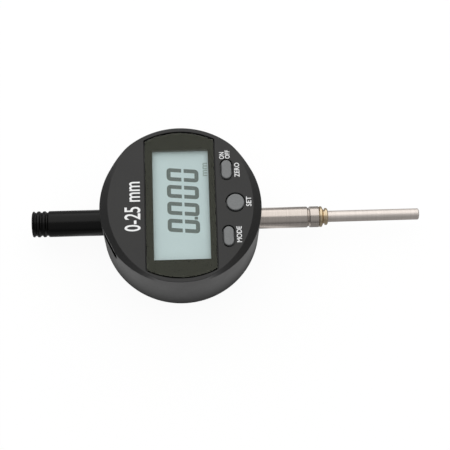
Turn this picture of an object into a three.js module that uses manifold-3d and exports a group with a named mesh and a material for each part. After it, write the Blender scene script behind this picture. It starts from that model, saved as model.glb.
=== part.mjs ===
// Electronic dial indicator, lying on its back.
// Millimetres. +X runs along the spindle towards its measuring end, +Z out of the display.
// The origin is the middle of the flat back.

import * as THREE from "three";
import { mergeVertices } from "three/addons/utils/BufferGeometryUtils.js";
import Module from "manifold-3d";

const wasm = await Module();
wasm.setup();

// Clearances shared by all pieces
const seatGap = 0.25;
const slideGap = 0.1;
const overrun = 1;

// Round case and its bezel
const caseRadius = 30;
const caseDepth = 30;
const caseWall = 2.4;
const rearChamfer = 0.4;
const bezelSlopeDepth = 2.8;
const bezelSlopeWidth = 3.2;
const bezelArcShift = 9.6;
const frontWall = 2;
const spindleHeight = 10.6;
const wallBossRadius = 6;
const wallBossLength = 2.6;

// Window let into the bezel
const lensHalfWidth = 12.85;
const lensRim = 1.85;
const lensCornerCut = 0.8;
const lensThickness = 1.5;
const lensSink = 0.2;
const lensGroove = 0.4;
const ledgeThickness = 1.4;

// Display
const displayX = 0.25;
const displayY = 0.5;
const displayHalfWidth = 10.4;
const displayEndMargin = 3.65;
const glassMargin = 1.7;
const glassEndMargin = 1.1;
const glassThickness = 2.75;
const holderWall = 0.55;
const holderLip = 1.2;
const zebraWidth = 1.2;
const zebraEndMargin = 1.1;
const zebraWall = 0.8;

// Push buttons, placed across the strip between the window and the flat front's edge
const ovalKeyAcrossShare = 0.3;
const ovalKeySideShare = 0.47;
const ovalKeyHalfWidth = 1.8;
const ovalKeyHalfLength = 3.6;
const roundKeyAcrossShare = 0.515;
const roundKeyRadius = 3.15;
const keyGap = 0.6;
const keyRise = 0.5;
const keyEdge = 0.25;
const keyFlange = 1;
const keyFlangeThickness = 1.2;
const keyTravel = 0.6;
const plungerRadius = 1.3;
const keyPocketMargin = 0.5;
const matThickness = 0.8;
const domeHeight = 1.5;
const domeBaseRadius = 2.2;
const domeTopRadius = 1.5;

// Back cover and its screws
const coverThickness = 2.4;
const coverRim = 0.65;
const coverEdge = 0.3;
const coverScrewAngle = THREE.MathUtils.degToRad(52);
const coverBossRadius = 2.2;
const screwHeadRadius = 1.6;
const screwHeadHeight = 1.2;
const screwHeadSink = 0.15;
const screwShankRadius = 0.8;
const coverScrewLength = 6;

// Battery, its door and holder
const batteryY = 15;
const cellRadius = 5.8;
const cellHeight = 5.4;
const cellEdge = 0.3;
const holderRingWall = 1;
const holderRoof = 1;
const holderFootHalfWidth = 5;
const holderFootReach = 4;
const holderFootThickness = 1;
const doorRadius = 7.5;
const doorSink = 0.1;
const doorFlangeThickness = 0.75;
const doorPlugRadius = 6.2;
const doorLedge = 0.6;
const doorTabReach = 0.95;
const doorTabThickness = 0.75;
const doorTabAngle = THREE.MathUtils.degToRad(30);
const doorTurn = THREE.MathUtils.degToRad(60);
const doorTabCount = 2;
const coinSlotLength = 9;
const coinSlotWidth = 1.5;
const coinSlotDepth = 0.5;
const sealThickness = 0.45;
const contactThickness = 0.25;
const contactWidth = 3;
const contactArm = 4.4;

// Boards
const boardInset = 0.7;
const boardThickness = 1.6;
const boardBossRadius = 2;
const boardScrewLeftX = 17.5;
const boardScrewLeftY = 9;
const boardScrewRightInset = 4.8;
const boardScrewRightY = 7.2;
const boardScrewHeadRadius = 1.6;
const boardScrewHeadHeight = 1.1;
const boardScrewLength = 5.5;
const chipSize = 10;
const chipHeight = 1.6;
const scaleBoardThickness = 1;
const scaleBoardHalfWidth = 5;
const scaleGap = 0.4;
const pickupThickness = 0.8;
const pickupHalfWidth = 4.5;
const pickupLength = 14;

// Data port in the side wall, turned from the cap's side
const portAngle = THREE.MathUtils.degToRad(25);
const portFlatDepth = 0.6;
const portFlatLow = 14;
const portDrop = 1.6;
const portHeight = 3.2;
const portHalfWidth = 4.6;
const portCoverSink = 0.9;
const portCoverThickness = 1.7;
const portNotchOffset = 0.6;
const portNotchHalfWidth = 1.15;
const portNotchHalfHeight = 2.6;
const portNotchDepth = 1.2;
const socketDepth = 4;

// Inner frame
const frameSheet = 1.5;
const frameLug = 2.35;
const frameLow = 10.4;
const frameHigh = 5.2;
const frameCorner = 2;
const guideRodRadius = 1;
const guideRodY = 7.2;

// Stem, bushes and nut
const stemRadius = 4;
const stemWall = 0.85;
const stemReach = 52.65;
const stemChamfer = 0.2;
const stemGrooveStart = 3.45;
const stemGrooveWidth = 1.2;
const stemGrooveDepth = 0.4;
const nutFlats = 10;
const nutSides = 6;
const nutThickness = 2.25;
const bushBodyLength = 10;
const bushFlangeRadius = 3.95;
const bushFlangeLength = 0.8;
const bushConeLength = 0.65;
const bushNeckRadius = 2.65;
const bushNeckLength = 0.55;
const bushRingRadius = 3.25;
const bushRingLength = 0.75;
const bushNoseLength = 0.4;
const upperBushRadius = 3.3;
const upperBushReach = 38;

// Spindle and what rides on it
const spindleRadius = 2.15;
const spindleReach = 91.1;
const spindleRear = 26;
const spindleChamfer = 0.35;
const tipHoleRadius = 1.05;
const tipHoleDepth = 6;
const travel = 25.4;
const bumperThickness = 1.35;
const bumperRadius = 3.9;
const carrierLength = 6;
const carrierBelow = 3.5;
const carrierAbove = 3.7;
const carrierFarSide = 9.4;
const carrierNearSide = 4.5;
const carrierScrewRadius = 1;
const springWire = 0.45;
const springRadius = 2.95;
const springTurns = 12;

// Dust cap
const capRadius = 4.98;
const capTipRadius = 4.95;
const capEndRoom = 3.6;
const capBore = 3.6;
const capCrown = 1.4;
const capSeatDepth = 1;
const capTipRound = 0.4;
const gripCount = 3;
const gripPitch = 2.15;
const gripGroove = 1.45;
const gripDepth = 0.55;
const gripStart = 0.6;

// Facets round each kind of curve
const caseFacets = 72;
const rodFacets = 32;
const keyFacets = 12;
const windowFacets = 16;
const holeFacets = 12;
const springSteps = 8;
const springSides = 5;

// Heights and places that follow from the sizes above
const ledgeHeight = caseDepth - lensSink - lensThickness - seatGap;
const ceiling = ledgeHeight - ledgeThickness;
const keyCeiling = caseDepth - frontWall;
const cavityRadius = caseRadius - caseWall;
const coverRadius = caseRadius - caseWall + coverRim;
const coverTop = coverThickness + seatGap;
const coverScrewCircle = cavityRadius - coverBossRadius;
const boardRadius = cavityRadius - boardInset;
const frameTop = coverTop + frameSheet;
const lensRadius = caseRadius - lensRim;
const displayHalfLength = Math.sqrt(lensRadius ** 2 - lensHalfWidth ** 2) - displayEndMargin;
const zebraHalfLength = displayHalfLength - zebraEndMargin;
const keyStrip = caseRadius - bezelSlopeWidth - lensHalfWidth - lensGroove;
const ovalKeyX = lensHalfWidth + lensGroove + ovalKeyAcrossShare * keyStrip;
const ovalKeyY = ovalKeySideShare * cavityRadius;
const roundKeyX = lensHalfWidth + lensGroove + roundKeyAcrossShare * keyStrip;
const keyPocketStart = ovalKeyX - ovalKeyHalfWidth - keyFlange - keyPocketMargin;
const keyPocketEnd = roundKeyX + roundKeyRadius + keyFlange + keyPocketMargin;
const keyPocketHalfLength = ovalKeyY + ovalKeyHalfLength + keyFlange + keyPocketMargin;
const glassTop = ceiling - seatGap;
const glassLow = glassTop - glassThickness;
const lugOuter = cavityRadius - wallBossLength - seatGap;
const lugInner = lugOuter - frameLug;
const stemInner = lugInner - seatGap - nutThickness;
const bumperStart = stemInner - seatGap - bumperThickness;
const carrierEnd = bumperStart - seatGap;
const carrierStart = carrierEnd - carrierLength;
const carrierTop = spindleHeight + carrierAbove;
const pickupLow = carrierTop + seatGap;
const pickupTop = pickupLow + pickupThickness;
const scaleBoardLow = pickupTop + scaleGap;
const scaleBoardTop = scaleBoardLow + scaleBoardThickness;
const boardLow = scaleBoardTop + seatGap;
const boardTop = boardLow + boardThickness;
const lugTop = boardLow - seatGap;
const onBoard = boardTop + seatGap;
const matTop = onBoard + matThickness;
const bushBore = spindleRadius + slideGap;
const stemBore = stemRadius - stemWall;
const doorTop = coverTop + doorTabThickness;
const cellLow = doorTop + seatGap;
const cellTop = cellLow + cellHeight;
const contactLow = cellTop + seatGap;
const roofLow = contactLow + contactThickness + seatGap;
const holderBore = cellRadius + seatGap + contactThickness + slideGap;
const holderRadius = holderBore + holderRingWall;
const portTurn = Math.PI + portAngle;
const portFace = caseRadius - portFlatDepth;
const portTop = caseDepth - bezelSlopeDepth - portDrop;
const portCoverFace = portFace - portCoverSink;
const capReach = spindleRear + travel + capEndRoom + capCrown;

// Solids from three.js geometry, for joining and cutting

function toSolid(geometry) {
  const bare = geometry.clone();
  bare.deleteAttribute("normal");
  bare.deleteAttribute("uv");
  const merged = mergeVertices(bare);
  const triangles = [];
  const index = merged.index.array;
  for (let i = 0; i < index.length; i += 3) {
    const [a, b, c] = index.slice(i, i + 3);
    if (a !== b && b !== c && c !== a) triangles.push(a, b, c);
  }
  return new wasm.Manifold(new wasm.Mesh({
    numProp: 3,
    vertProperties: new Float32Array(merged.attributes.position.array),
    triVerts: new Uint32Array(triangles),
  }));
}

function toGeometry(solid) {
  const mesh = solid.getMesh();
  const geometry = new THREE.BufferGeometry();
  geometry.setAttribute("position", new THREE.BufferAttribute(mesh.vertProperties, 3));
  geometry.setIndex(new THREE.BufferAttribute(mesh.triVerts, 1));
  return geometry;
}

function piece(name, solid, color, roughness, metalness) {
  const material = new THREE.MeshStandardMaterial({ color, roughness, metalness });
  const mesh = new THREE.Mesh(toGeometry(solid), material);
  mesh.name = name;
  return mesh;
}

// Upright round bar between two heights
function post(x, y, low, high, radius, facets = holeFacets, topRadius = radius) {
  const geometry = new THREE.CylinderGeometry(topRadius, radius, high - low, facets);
  geometry.rotateX(Math.PI / 2);
  geometry.translate(x, y, (low + high) / 2);
  return toSolid(geometry);
}

// Round bar along X, at the spindle's height
function bar(start, end, radius, y = 0, facets = rodFacets) {
  const geometry = new THREE.CylinderGeometry(radius, radius, end - start, facets);
  geometry.rotateZ(-Math.PI / 2);
  geometry.translate((start + end) / 2, y, spindleHeight);
  return toSolid(geometry);
}

// Block between two corners
function block([x0, y0, z0], [x1, y1, z1]) {
  const geometry = new THREE.BoxGeometry(x1 - x0, y1 - y0, z1 - z0);
  geometry.translate((x0 + x1) / 2, (y0 + y1) / 2, (z0 + z1) / 2);
  return toSolid(geometry);
}

// Flat outline raised from one height to another
function raise(shape, low, high, curveSegments = keyFacets) {
  const options = { depth: high - low, bevelEnabled: false, curveSegments };
  const geometry = new THREE.ExtrudeGeometry(shape, options);
  geometry.translate(0, 0, low);
  return toSolid(geometry);
}

// Outline turned round the vertical axis; its points are [radius, height]
function turn(points, facets) {
  const geometry = new THREE.LatheGeometry(points.map(([r, h]) => new THREE.Vector2(r, h)), facets);
  geometry.rotateX(Math.PI / 2);
  return geometry;
}

// Outline turned round the spindle's axis; its points are [radius, place along X]
function turnAlongX(points, facets = rodFacets) {
  const geometry = new THREE.LatheGeometry(points.map(([r, x]) => new THREE.Vector2(r, x)), facets);
  return toSolid(geometry);
}

// Ring with a square section round an upright axis
function ring(x, y, low, high, inner, outer, facets = rodFacets) {
  const hole = post(x, y, low - overrun, high + overrun, inner, facets);
  return post(x, y, low, high, outer, facets).subtract(hole);
}

// Outlines

function ovalShape(x, y, halfWidth, halfLength) {
  const straight = halfLength - halfWidth;
  const shape = new THREE.Shape();
  shape.absarc(x, y + straight, halfWidth, 0, Math.PI, false);
  shape.absarc(x, y - straight, halfWidth, Math.PI, 2 * Math.PI, false);
  shape.closePath();
  return shape;
}

// Straight sides, round ends about the case's centre, and small flats across the four corners
function windowShape(halfWidth, radius, cornerCut) {
  const corner = Math.acos(halfWidth / radius);
  const arcStart = corner + cornerCut / radius;
  const sideEnd = radius * Math.sin(corner) - cornerCut;
  const shape = new THREE.Shape();
  shape.moveTo(halfWidth, -sideEnd);
  shape.lineTo(halfWidth, sideEnd);
  shape.absarc(0, 0, radius, arcStart, Math.PI - arcStart, false);
  shape.lineTo(-halfWidth, sideEnd);
  shape.lineTo(-halfWidth, -sideEnd);
  shape.absarc(0, 0, radius, Math.PI + arcStart, 2 * Math.PI - arcStart, false);
  shape.closePath();
  return shape;
}

// Radius of the flat front in a given direction: the round case, cut in by a flatter arc at each side
function bezelRadius(angle) {
  const arcRadius = caseRadius - bezelSlopeWidth + bezelArcShift;
  const along = bezelArcShift * Math.abs(Math.cos(angle));
  const arc = Math.sqrt(along ** 2 + arcRadius ** 2 - bezelArcShift ** 2) - along;
  return Math.min(caseRadius, arc);
}

// Places of what comes in sets

const coverScrewTurns = [
  coverScrewAngle,
  Math.PI - coverScrewAngle,
  Math.PI + coverScrewAngle,
  2 * Math.PI - coverScrewAngle,
];
const coverScrewPlaces = coverScrewTurns.map((angle) => [
  coverScrewCircle * Math.cos(angle),
  coverScrewCircle * Math.sin(angle),
]);
const boardScrewPlaces = [
  [-boardScrewLeftX, boardScrewLeftY],
  [-boardScrewLeftX, -boardScrewLeftY],
  [cavityRadius - boardScrewRightInset, boardScrewRightY],
];
const keyPlaces = [[ovalKeyX, ovalKeyY], [roundKeyX, 0], [ovalKeyX, -ovalKeyY]];

// Housing

function outerCase() {
  const shoulder = caseDepth - bezelSlopeDepth;
  const geometry = turn([
    [0, 0],
    [caseRadius - rearChamfer, 0],
    [caseRadius, rearChamfer],
    [caseRadius, shoulder],
    [caseRadius, caseDepth],
    [0, caseDepth],
  ], caseFacets);
  const place = geometry.attributes.position;
  const middle = (shoulder + caseDepth) / 2;
  for (let i = 0; i < place.count; i++) {
    const x = place.getX(i);
    const y = place.getY(i);
    const onRim = place.getZ(i) > middle && Math.hypot(x, y) > caseRadius / 2;
    if (!onRim) continue;
    const share = bezelRadius(Math.atan2(y, x)) / caseRadius;
    place.setXY(i, x * share, y * share);
  }
  return toSolid(geometry);
}

// Flat on the wall, opening through it and the notch at its end for a fingernail, all facing +X
function portPocket() {
  const low = portTop - portHeight;
  const flat = block([portFace, -caseRadius, portFlatLow], [caseRadius + overrun, caseRadius, caseDepth + overrun]);
  const opening = block(
    [cavityRadius - overrun, -portHalfWidth, low],
    [caseRadius + overrun, portHalfWidth, portTop],
  );
  const middle = (low + portTop) / 2;
  const notchShape = ovalShape(
    portHalfWidth + portNotchOffset, middle, portNotchHalfWidth, portNotchHalfHeight,
  );
  const notch = raise(notchShape, portFace - portNotchDepth, caseRadius + overrun).rotate([90, 0, 90]);
  return flat.add(opening).add(notch).rotate([0, 0, THREE.MathUtils.radToDeg(portTurn)]);
}

function frontCase() {
  let body = outerCase();
  const cavity = post(0, 0, coverTop, ceiling, cavityRadius, caseFacets);
  const coverSeat = post(0, 0, -overrun, coverTop, coverRadius + seatGap, caseFacets);
  const keyPocket = block(
    [keyPocketStart, -keyPocketHalfLength, ceiling - overrun],
    [keyPocketEnd, keyPocketHalfLength, keyCeiling],
  ).intersect(post(0, 0, 0, caseDepth, cavityRadius, caseFacets));
  body = body.subtract(cavity).subtract(coverSeat).subtract(keyPocket);

  // Bosses: two round the spindle line, four for the cover and three for the board
  const inside = post(0, 0, 0, caseDepth, cavityRadius + caseWall / 2, caseFacets);
  for (const side of [-1, 1]) {
    const near = side * (cavityRadius - wallBossLength);
    const far = side * caseRadius;
    body = body.add(bar(Math.min(near, far), Math.max(near, far), wallBossRadius).intersect(inside));
  }
  for (const [x, y] of coverScrewPlaces) {
    body = body.add(post(x, y, coverTop, ceiling + overrun, coverBossRadius));
  }
  for (const [x, y] of boardScrewPlaces) {
    body = body.add(post(x, y, onBoard, keyCeiling + overrun, boardBossRadius));
  }

  // Window recess, display opening and key holes
  const recess = raise(windowShape(lensHalfWidth + lensGroove, lensRadius + lensGroove, lensCornerCut),
    ledgeHeight, caseDepth + overrun, windowFacets);
  const opening = block(
    [displayX - displayHalfWidth, displayY - displayHalfLength, ceiling - overrun],
    [displayX + displayHalfWidth, displayY + displayHalfLength, ledgeHeight + overrun],
  );
  body = body.subtract(recess).subtract(opening);
  for (const side of [-1, 1]) {
    const halfWidth = ovalKeyHalfWidth + keyGap;
    const hole = ovalShape(ovalKeyX, side * ovalKeyY, halfWidth, ovalKeyHalfLength + keyGap);
    body = body.subtract(raise(hole, keyCeiling - overrun, caseDepth + overrun));
  }
  const roundHole = roundKeyRadius + keyGap;
  body = body.subtract(post(roundKeyX, 0, keyCeiling - overrun, caseDepth + overrun, roundHole, rodFacets));

  // Holes for the stem, the upper bush, the cap's seat and the screws
  body = body.subtract(bar(0, caseRadius + overrun, stemRadius + seatGap));
  body = body.subtract(bar(-caseRadius - overrun, 0, upperBushRadius + seatGap));
  body = body.subtract(bar(-caseRadius - overrun, -caseRadius + capSeatDepth, capRadius + seatGap));
  for (const [x, y] of coverScrewPlaces) {
    body = body.subtract(post(x, y, 0, coverTop + coverScrewLength, screwShankRadius + seatGap));
  }
  const screwHoleEnd = boardLow + boardScrewLength + seatGap;
  for (const [x, y] of boardScrewPlaces) {
    body = body.subtract(post(x, y, boardLow, screwHoleEnd, screwShankRadius + seatGap));
  }
  body = body.subtract(portPocket());
  return piece("front_case", body, 0x3f3f3d, 0.5, 0);
}

function windowLens() {
  const outline = windowShape(lensHalfWidth, lensRadius, lensCornerCut);
  const low = ledgeHeight + seatGap;
  return piece("window_lens", raise(outline, low, low + lensThickness, windowFacets), 0x8c9490, 0.1, 0);
}

function backCover() {
  const hole = doorPlugRadius + seatGap;
  let cover = toSolid(turn([
    [0, 0],
    [coverRadius - coverEdge, 0],
    [coverRadius, coverEdge],
    [coverRadius, coverThickness],
    [0, coverThickness],
  ], caseFacets));
  const headHole = screwHeadSink + screwHeadHeight + seatGap;
  for (const [x, y] of coverScrewPlaces) {
    cover = cover.subtract(post(x, y, -overrun, headHole, screwHeadRadius + seatGap));
    cover = cover.subtract(post(x, y, -overrun, coverThickness + overrun, screwShankRadius + seatGap));
  }
  const ledge = coverThickness - doorLedge;
  cover = cover.subtract(post(0, batteryY, -overrun, ledge, doorRadius + seatGap, rodFacets));
  cover = cover.subtract(post(0, batteryY, -overrun, coverThickness + overrun, hole, rodFacets));
  for (let i = 0; i < doorTabCount; i++) {
    const angle = doorTurn + (i * 2 * Math.PI) / doorTabCount;
    cover = cover.subtract(doorTab(angle, seatGap, ledge - overrun, coverThickness + overrun));
  }
  return piece("back_cover", cover, 0x3a3a39, 0.6, 0);
}

function coverScrew(name, [x, y]) {
  const headTop = screwHeadSink + screwHeadHeight;
  const head = post(x, y, screwHeadSink, headTop, screwHeadRadius);
  const shank = post(x, y, headTop - screwHeadHeight / 2, headTop + coverScrewLength, screwShankRadius);
  return piece(name, head.add(shank), 0x8a8a88, 0.35, 1);
}

// Display

function displayParts() {
  const half = displayHalfWidth + glassMargin;
  const halfLength = displayHalfLength + glassEndMargin;
  const low = onBoard;
  const glass = block(
    [displayX - half, displayY - halfLength, glassLow],
    [displayX + half, displayY + halfLength, glassTop],
  );
  const outer = half + seatGap + holderWall;
  const outerLength = halfLength + seatGap + holderWall;
  const pocketFloor = glassLow - seatGap;
  const zebraOuter = half - holderLip / 2;
  const zebraInner = zebraOuter - zebraWidth;
  const inner = zebraInner - seatGap - zebraWall;
  let holder = block(
    [displayX - outer, displayY - outerLength, low],
    [displayX + outer, displayY + outerLength, glassTop],
  );
  holder = holder.subtract(block(
    [displayX - half - seatGap, displayY - halfLength - seatGap, pocketFloor],
    [displayX + half + seatGap, displayY + halfLength + seatGap, glassTop + overrun],
  ));
  holder = holder.subtract(block(
    [displayX - inner, displayY - zebraHalfLength, low - overrun],
    [displayX + inner, displayY + zebraHalfLength, glassTop],
  ));
  const parts = [];
  for (const [name, side] of [["zebra_strip_left", -1], ["zebra_strip_right", 1]]) {
    const from = displayX + side * zebraInner;
    const to = displayX + side * zebraOuter;
    const x0 = Math.min(from, to);
    const x1 = Math.max(from, to);
    const y0 = displayY - zebraHalfLength;
    const y1 = displayY + zebraHalfLength;
    const strip = block([x0, y0, low], [x1, y1, pocketFloor]);
    holder = holder.subtract(block(
      [x0 - seatGap, y0 - seatGap, low - overrun],
      [x1 + seatGap, y1 + seatGap, glassTop],
    ));
    parts.push(piece(name, strip, 0xb9a7a2, 0.8, 0));
  }
  parts.push(piece("lcd_panel", glass, 0xb4c8c4, 0.2, 0));
  parts.push(piece("lcd_holder", holder, 0xe4e4df, 0.6, 0));
  return parts;
}

// Push buttons: a cap through the bezel, a flange behind it and a plunger down to the rubber mat

function keyCap(outline, flange, x, y) {
  const flangeTop = keyCeiling - seatGap;
  const flangeLow = flangeTop - keyFlangeThickness;
  const low = flangeTop - keyFlangeThickness / 2;
  const cap = new THREE.ExtrudeGeometry(outline, {
    depth: caseDepth + keyRise - low - 2 * keyEdge,
    bevelThickness: keyEdge,
    bevelSize: keyEdge,
    bevelOffset: -keyEdge,
    bevelSegments: 1,
    curveSegments: keyFacets,
  });
  cap.translate(0, 0, low + keyEdge);
  const plungerLow = matTop + domeHeight + keyTravel + seatGap;
  return toSolid(cap)
    .add(raise(flange, flangeLow, flangeTop))
    .add(post(x, y, plungerLow, flangeTop, plungerRadius));
}

function ovalKey(name, side) {
  const y = side * ovalKeyY;
  const outline = ovalShape(ovalKeyX, y, ovalKeyHalfWidth, ovalKeyHalfLength);
  const flange = ovalShape(ovalKeyX, y, ovalKeyHalfWidth + keyFlange, ovalKeyHalfLength + keyFlange);
  return piece(name, keyCap(outline, flange, ovalKeyX, y), 0x7e7e80, 0.6, 0);
}

function roundKey() {
  const outline = new THREE.Shape().absarc(roundKeyX, 0, roundKeyRadius, 0, 2 * Math.PI, false);
  const flange = new THREE.Shape().absarc(roundKeyX, 0, roundKeyRadius + keyFlange, 0, 2 * Math.PI, false);
  return piece("button_set", keyCap(outline, flange, roundKeyX, 0), 0x7e7e80, 0.6, 0);
}

function keyMat() {
  let mat = block(
    [keyPocketStart, -keyPocketHalfLength, onBoard],
    [keyPocketEnd, keyPocketHalfLength, matTop],
  ).intersect(post(0, 0, 0, caseDepth, boardRadius, caseFacets));
  const domeFoot = matTop - matThickness / 2;
  for (const [x, y] of keyPlaces) {
    mat = mat.add(post(x, y, domeFoot, matTop + domeHeight, domeBaseRadius, holeFacets, domeTopRadius));
  }
  for (const [x, y] of [boardScrewPlaces[2], coverScrewPlaces[0], coverScrewPlaces[3]]) {
    mat = mat.subtract(post(x, y, onBoard - overrun, matTop + overrun, coverBossRadius + seatGap));
  }
  return piece("key_mat", mat, 0xcfcfc8, 0.8, 0);
}

// Boards

function mainBoard() {
  let board = post(0, 0, boardLow, boardTop, boardRadius, caseFacets);
  for (const [x, y] of coverScrewPlaces) {
    board = board.subtract(post(x, y, boardLow - overrun, boardTop + overrun, coverBossRadius + seatGap));
  }
  for (const [x, y] of boardScrewPlaces) {
    board = board.subtract(post(x, y, boardLow - overrun, boardTop + overrun, screwShankRadius + seatGap));
  }
  return piece("main_board", board, 0x1f5a3c, 0.5, 0);
}

function boardScrew(name, [x, y]) {
  const headTop = boardLow - seatGap;
  const head = post(x, y, headTop - boardScrewHeadHeight, headTop, boardScrewHeadRadius);
  const tip = boardLow + boardScrewLength;
  const shank = post(x, y, headTop - boardScrewHeadHeight / 2, tip, screwShankRadius);
  return piece(name, head.add(shank), 0x9a9a98, 0.35, 1);
}

function controllerChip() {
  const half = chipSize / 2;
  const body = block([-half, -half, onBoard], [half, half, onBoard + chipHeight]);
  return piece("controller_chip", body, 0x202020, 0.6, 0);
}

function scaleBoard() {
  const half = lugInner - seatGap;
  const board = block(
    [-half, -scaleBoardHalfWidth, scaleBoardLow],
    [half, scaleBoardHalfWidth, scaleBoardTop],
  );
  return piece("scale_board", board, 0x2a6b48, 0.5, 0);
}

// Data port

function portParts() {
  const coverBack = portCoverFace - portCoverThickness;
  const half = portHalfWidth - seatGap;
  const cover = block(
    [coverBack, -half, portTop - portHeight + seatGap],
    [portCoverFace, half, portTop - seatGap],
  );
  const socket = block(
    [coverBack - seatGap - socketDepth, -half, onBoard],
    [coverBack - seatGap, half, portTop - seatGap],
  );
  const group = new THREE.Group();
  group.rotation.z = portTurn;
  group.add(piece("port_cover", cover, 0x1d1d1c, 0.7, 0), piece("port_socket", socket, 0x1d1d1d, 0.6, 0));
  return group;
}

// Battery compartment

// Bayonet tab of the door, or with a margin the notch that lets it through
function doorTab(angle, margin, low, high) {
  const reach = doorPlugRadius + doorTabReach + margin;
  const spread = doorTabAngle / 2 + margin / doorPlugRadius;
  const shape = new THREE.Shape();
  shape.moveTo(0, 0);
  shape.lineTo(reach * Math.cos(angle - spread), reach * Math.sin(angle - spread));
  shape.absarc(0, 0, reach, angle - spread, angle + spread, false);
  shape.closePath();
  return raise(shape, low, high).translate([0, batteryY, 0]);
}

function batteryDoor() {
  const flangeTop = doorSink + doorFlangeThickness;
  let door = post(0, batteryY, doorSink, flangeTop, doorRadius, rodFacets);
  door = door.add(post(0, batteryY, doorSink, doorTop, doorPlugRadius, rodFacets));
  for (let i = 0; i < doorTabCount; i++) {
    door = door.add(doorTab((i * 2 * Math.PI) / doorTabCount, 0, coverTop, doorTop));
  }
  door = door.subtract(block(
    [-coinSlotLength / 2, batteryY - coinSlotWidth / 2, -overrun],
    [coinSlotLength / 2, batteryY + coinSlotWidth / 2, doorSink + coinSlotDepth],
  ));
  return piece("battery_door", door, 0x343433, 0.6, 0);
}

function doorSeal() {
  const low = doorSink + doorFlangeThickness + seatGap;
  const seal = ring(0, batteryY, low, low + sealThickness, doorPlugRadius + seatGap, doorRadius);
  return piece("battery_door_seal", seal, 0x151515, 0.9, 0);
}

function batteryCell() {
  const cell = toSolid(turn([
    [0, cellLow],
    [cellRadius - cellEdge, cellLow],
    [cellRadius, cellLow + cellEdge],
    [cellRadius, cellTop - cellEdge],
    [cellRadius - cellEdge, cellTop],
    [0, cellTop],
  ], rodFacets)).translate([0, batteryY, 0]);
  return piece("battery_cell", cell, 0xc9c9c6, 0.25, 1);
}

function batteryHolder() {
  const roofTop = roofLow + holderRoof;
  let holder = post(0, batteryY, cellLow, roofTop, holderRadius, rodFacets);
  const foot = block(
    [-holderFootHalfWidth, batteryY - holderRadius - holderFootReach, frameTop + seatGap],
    [holderFootHalfWidth, batteryY, frameTop + seatGap + holderFootThickness],
  );
  holder = holder.add(foot).subtract(post(0, batteryY, cellLow - overrun, roofLow, holderBore, rodFacets));
  const gate = contactWidth / 2 + seatGap;
  holder = holder.subtract(block(
    [cellRadius, batteryY - gate, cellLow - overrun],
    [holderRadius + overrun, batteryY + gate, roofTop + overrun],
  ));
  holder = holder.subtract(block(
    [-contactArm - seatGap, batteryY - gate, cellLow],
    [-contactArm + contactThickness + seatGap, batteryY + gate, roofTop + overrun],
  ));
  return piece("battery_holder", holder, 0xd9d9d2, 0.6, 0);
}

function batteryContacts() {
  const y0 = batteryY - contactWidth / 2;
  const y1 = batteryY + contactWidth / 2;
  const top = boardLow - seatGap;
  const side = cellRadius + seatGap;
  const plus = block([side, y0, cellLow + cellEdge], [side + contactThickness, y1, top]);
  const leaf = block([-contactArm, y0, contactLow], [contactArm / 2, y1, contactLow + contactThickness]);
  const leg = block([-contactArm, y0, contactLow], [-contactArm + contactThickness, y1, top]);
  return [
    piece("battery_contact_plus", plus, 0xc8b27a, 0.3, 1),
    piece("battery_contact_minus", leaf.add(leg), 0xc8b27a, 0.3, 1),
  ];
}

// Inner frame: a bent strip whose two lugs tie the stem and the upper bush together

function innerFrame() {
  let frame = block([-lugOuter, -frameLow, coverTop], [lugOuter, frameHigh, frameTop]);
  for (const side of [-1, 1]) {
    const near = side * lugInner;
    const far = side * lugOuter;
    frame = frame.add(block(
      [Math.min(near, far), -frameLow, coverTop],
      [Math.max(near, far), frameHigh, lugTop],
    ));
  }
  // Chamfered upper corners of both lugs
  for (const [y, turnSign] of [[-frameLow, 1], [frameHigh, -1]]) {
    const cut = frameCorner * Math.SQRT2;
    const corner = new THREE.BoxGeometry(2 * caseRadius, cut, cut);
    corner.rotateX((turnSign * Math.PI) / 4);
    corner.translate(0, y, lugTop);
    frame = frame.subtract(toSolid(corner));
  }
  frame = frame.subtract(bar(0, caseRadius, stemRadius + seatGap));
  frame = frame.subtract(bar(-caseRadius, 0, upperBushRadius + seatGap));
  frame = frame.subtract(bar(-caseRadius, caseRadius, guideRodRadius + seatGap, -guideRodY, holeFacets));
  return piece("inner_frame", frame, 0xa9abab, 0.4, 1);
}

function guideRod() {
  const half = lugOuter - seatGap;
  return piece("guide_rod", bar(-half, half, guideRodRadius, -guideRodY, holeFacets), 0xb8b8b6, 0.25, 1);
}

// Pieces turned about the spindle line; their group lays them along X at the spindle's height

function stem() {
  const grooveEnd = stemReach - stemGrooveStart;
  const grooveStart = grooveEnd - stemGrooveWidth;
  const tube = turnAlongX([
    [stemBore, stemInner],
    [stemRadius, stemInner],
    [stemRadius, grooveStart],
    [stemRadius - stemGrooveDepth, grooveStart + stemGrooveDepth],
    [stemRadius - stemGrooveDepth, grooveEnd - stemGrooveDepth],
    [stemRadius, grooveEnd],
    [stemRadius, stemReach - stemChamfer],
    [stemRadius - stemChamfer, stemReach],
    [stemBore, stemReach],
    [stemBore, stemInner],
  ]);
  return piece("stem", tube, 0xb4b1ab, 0.3, 1);
}

function stemNut() {
  const corners = nutFlats / 2 / Math.cos(Math.PI / nutSides);
  const hex = new THREE.CylinderGeometry(corners, corners, nutThickness, nutSides);
  hex.rotateY(Math.PI / 2);
  hex.translate(0, stemInner + nutThickness / 2, 0);
  const holeRadius = stemRadius + seatGap;
  const hole = new THREE.CylinderGeometry(holeRadius, holeRadius, nutThickness + overrun, rodFacets);
  hole.translate(0, stemInner + nutThickness / 2, 0);
  return piece("stem_nut", toSolid(hex).subtract(toSolid(hole)), 0xb0aea8, 0.35, 1);
}

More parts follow.
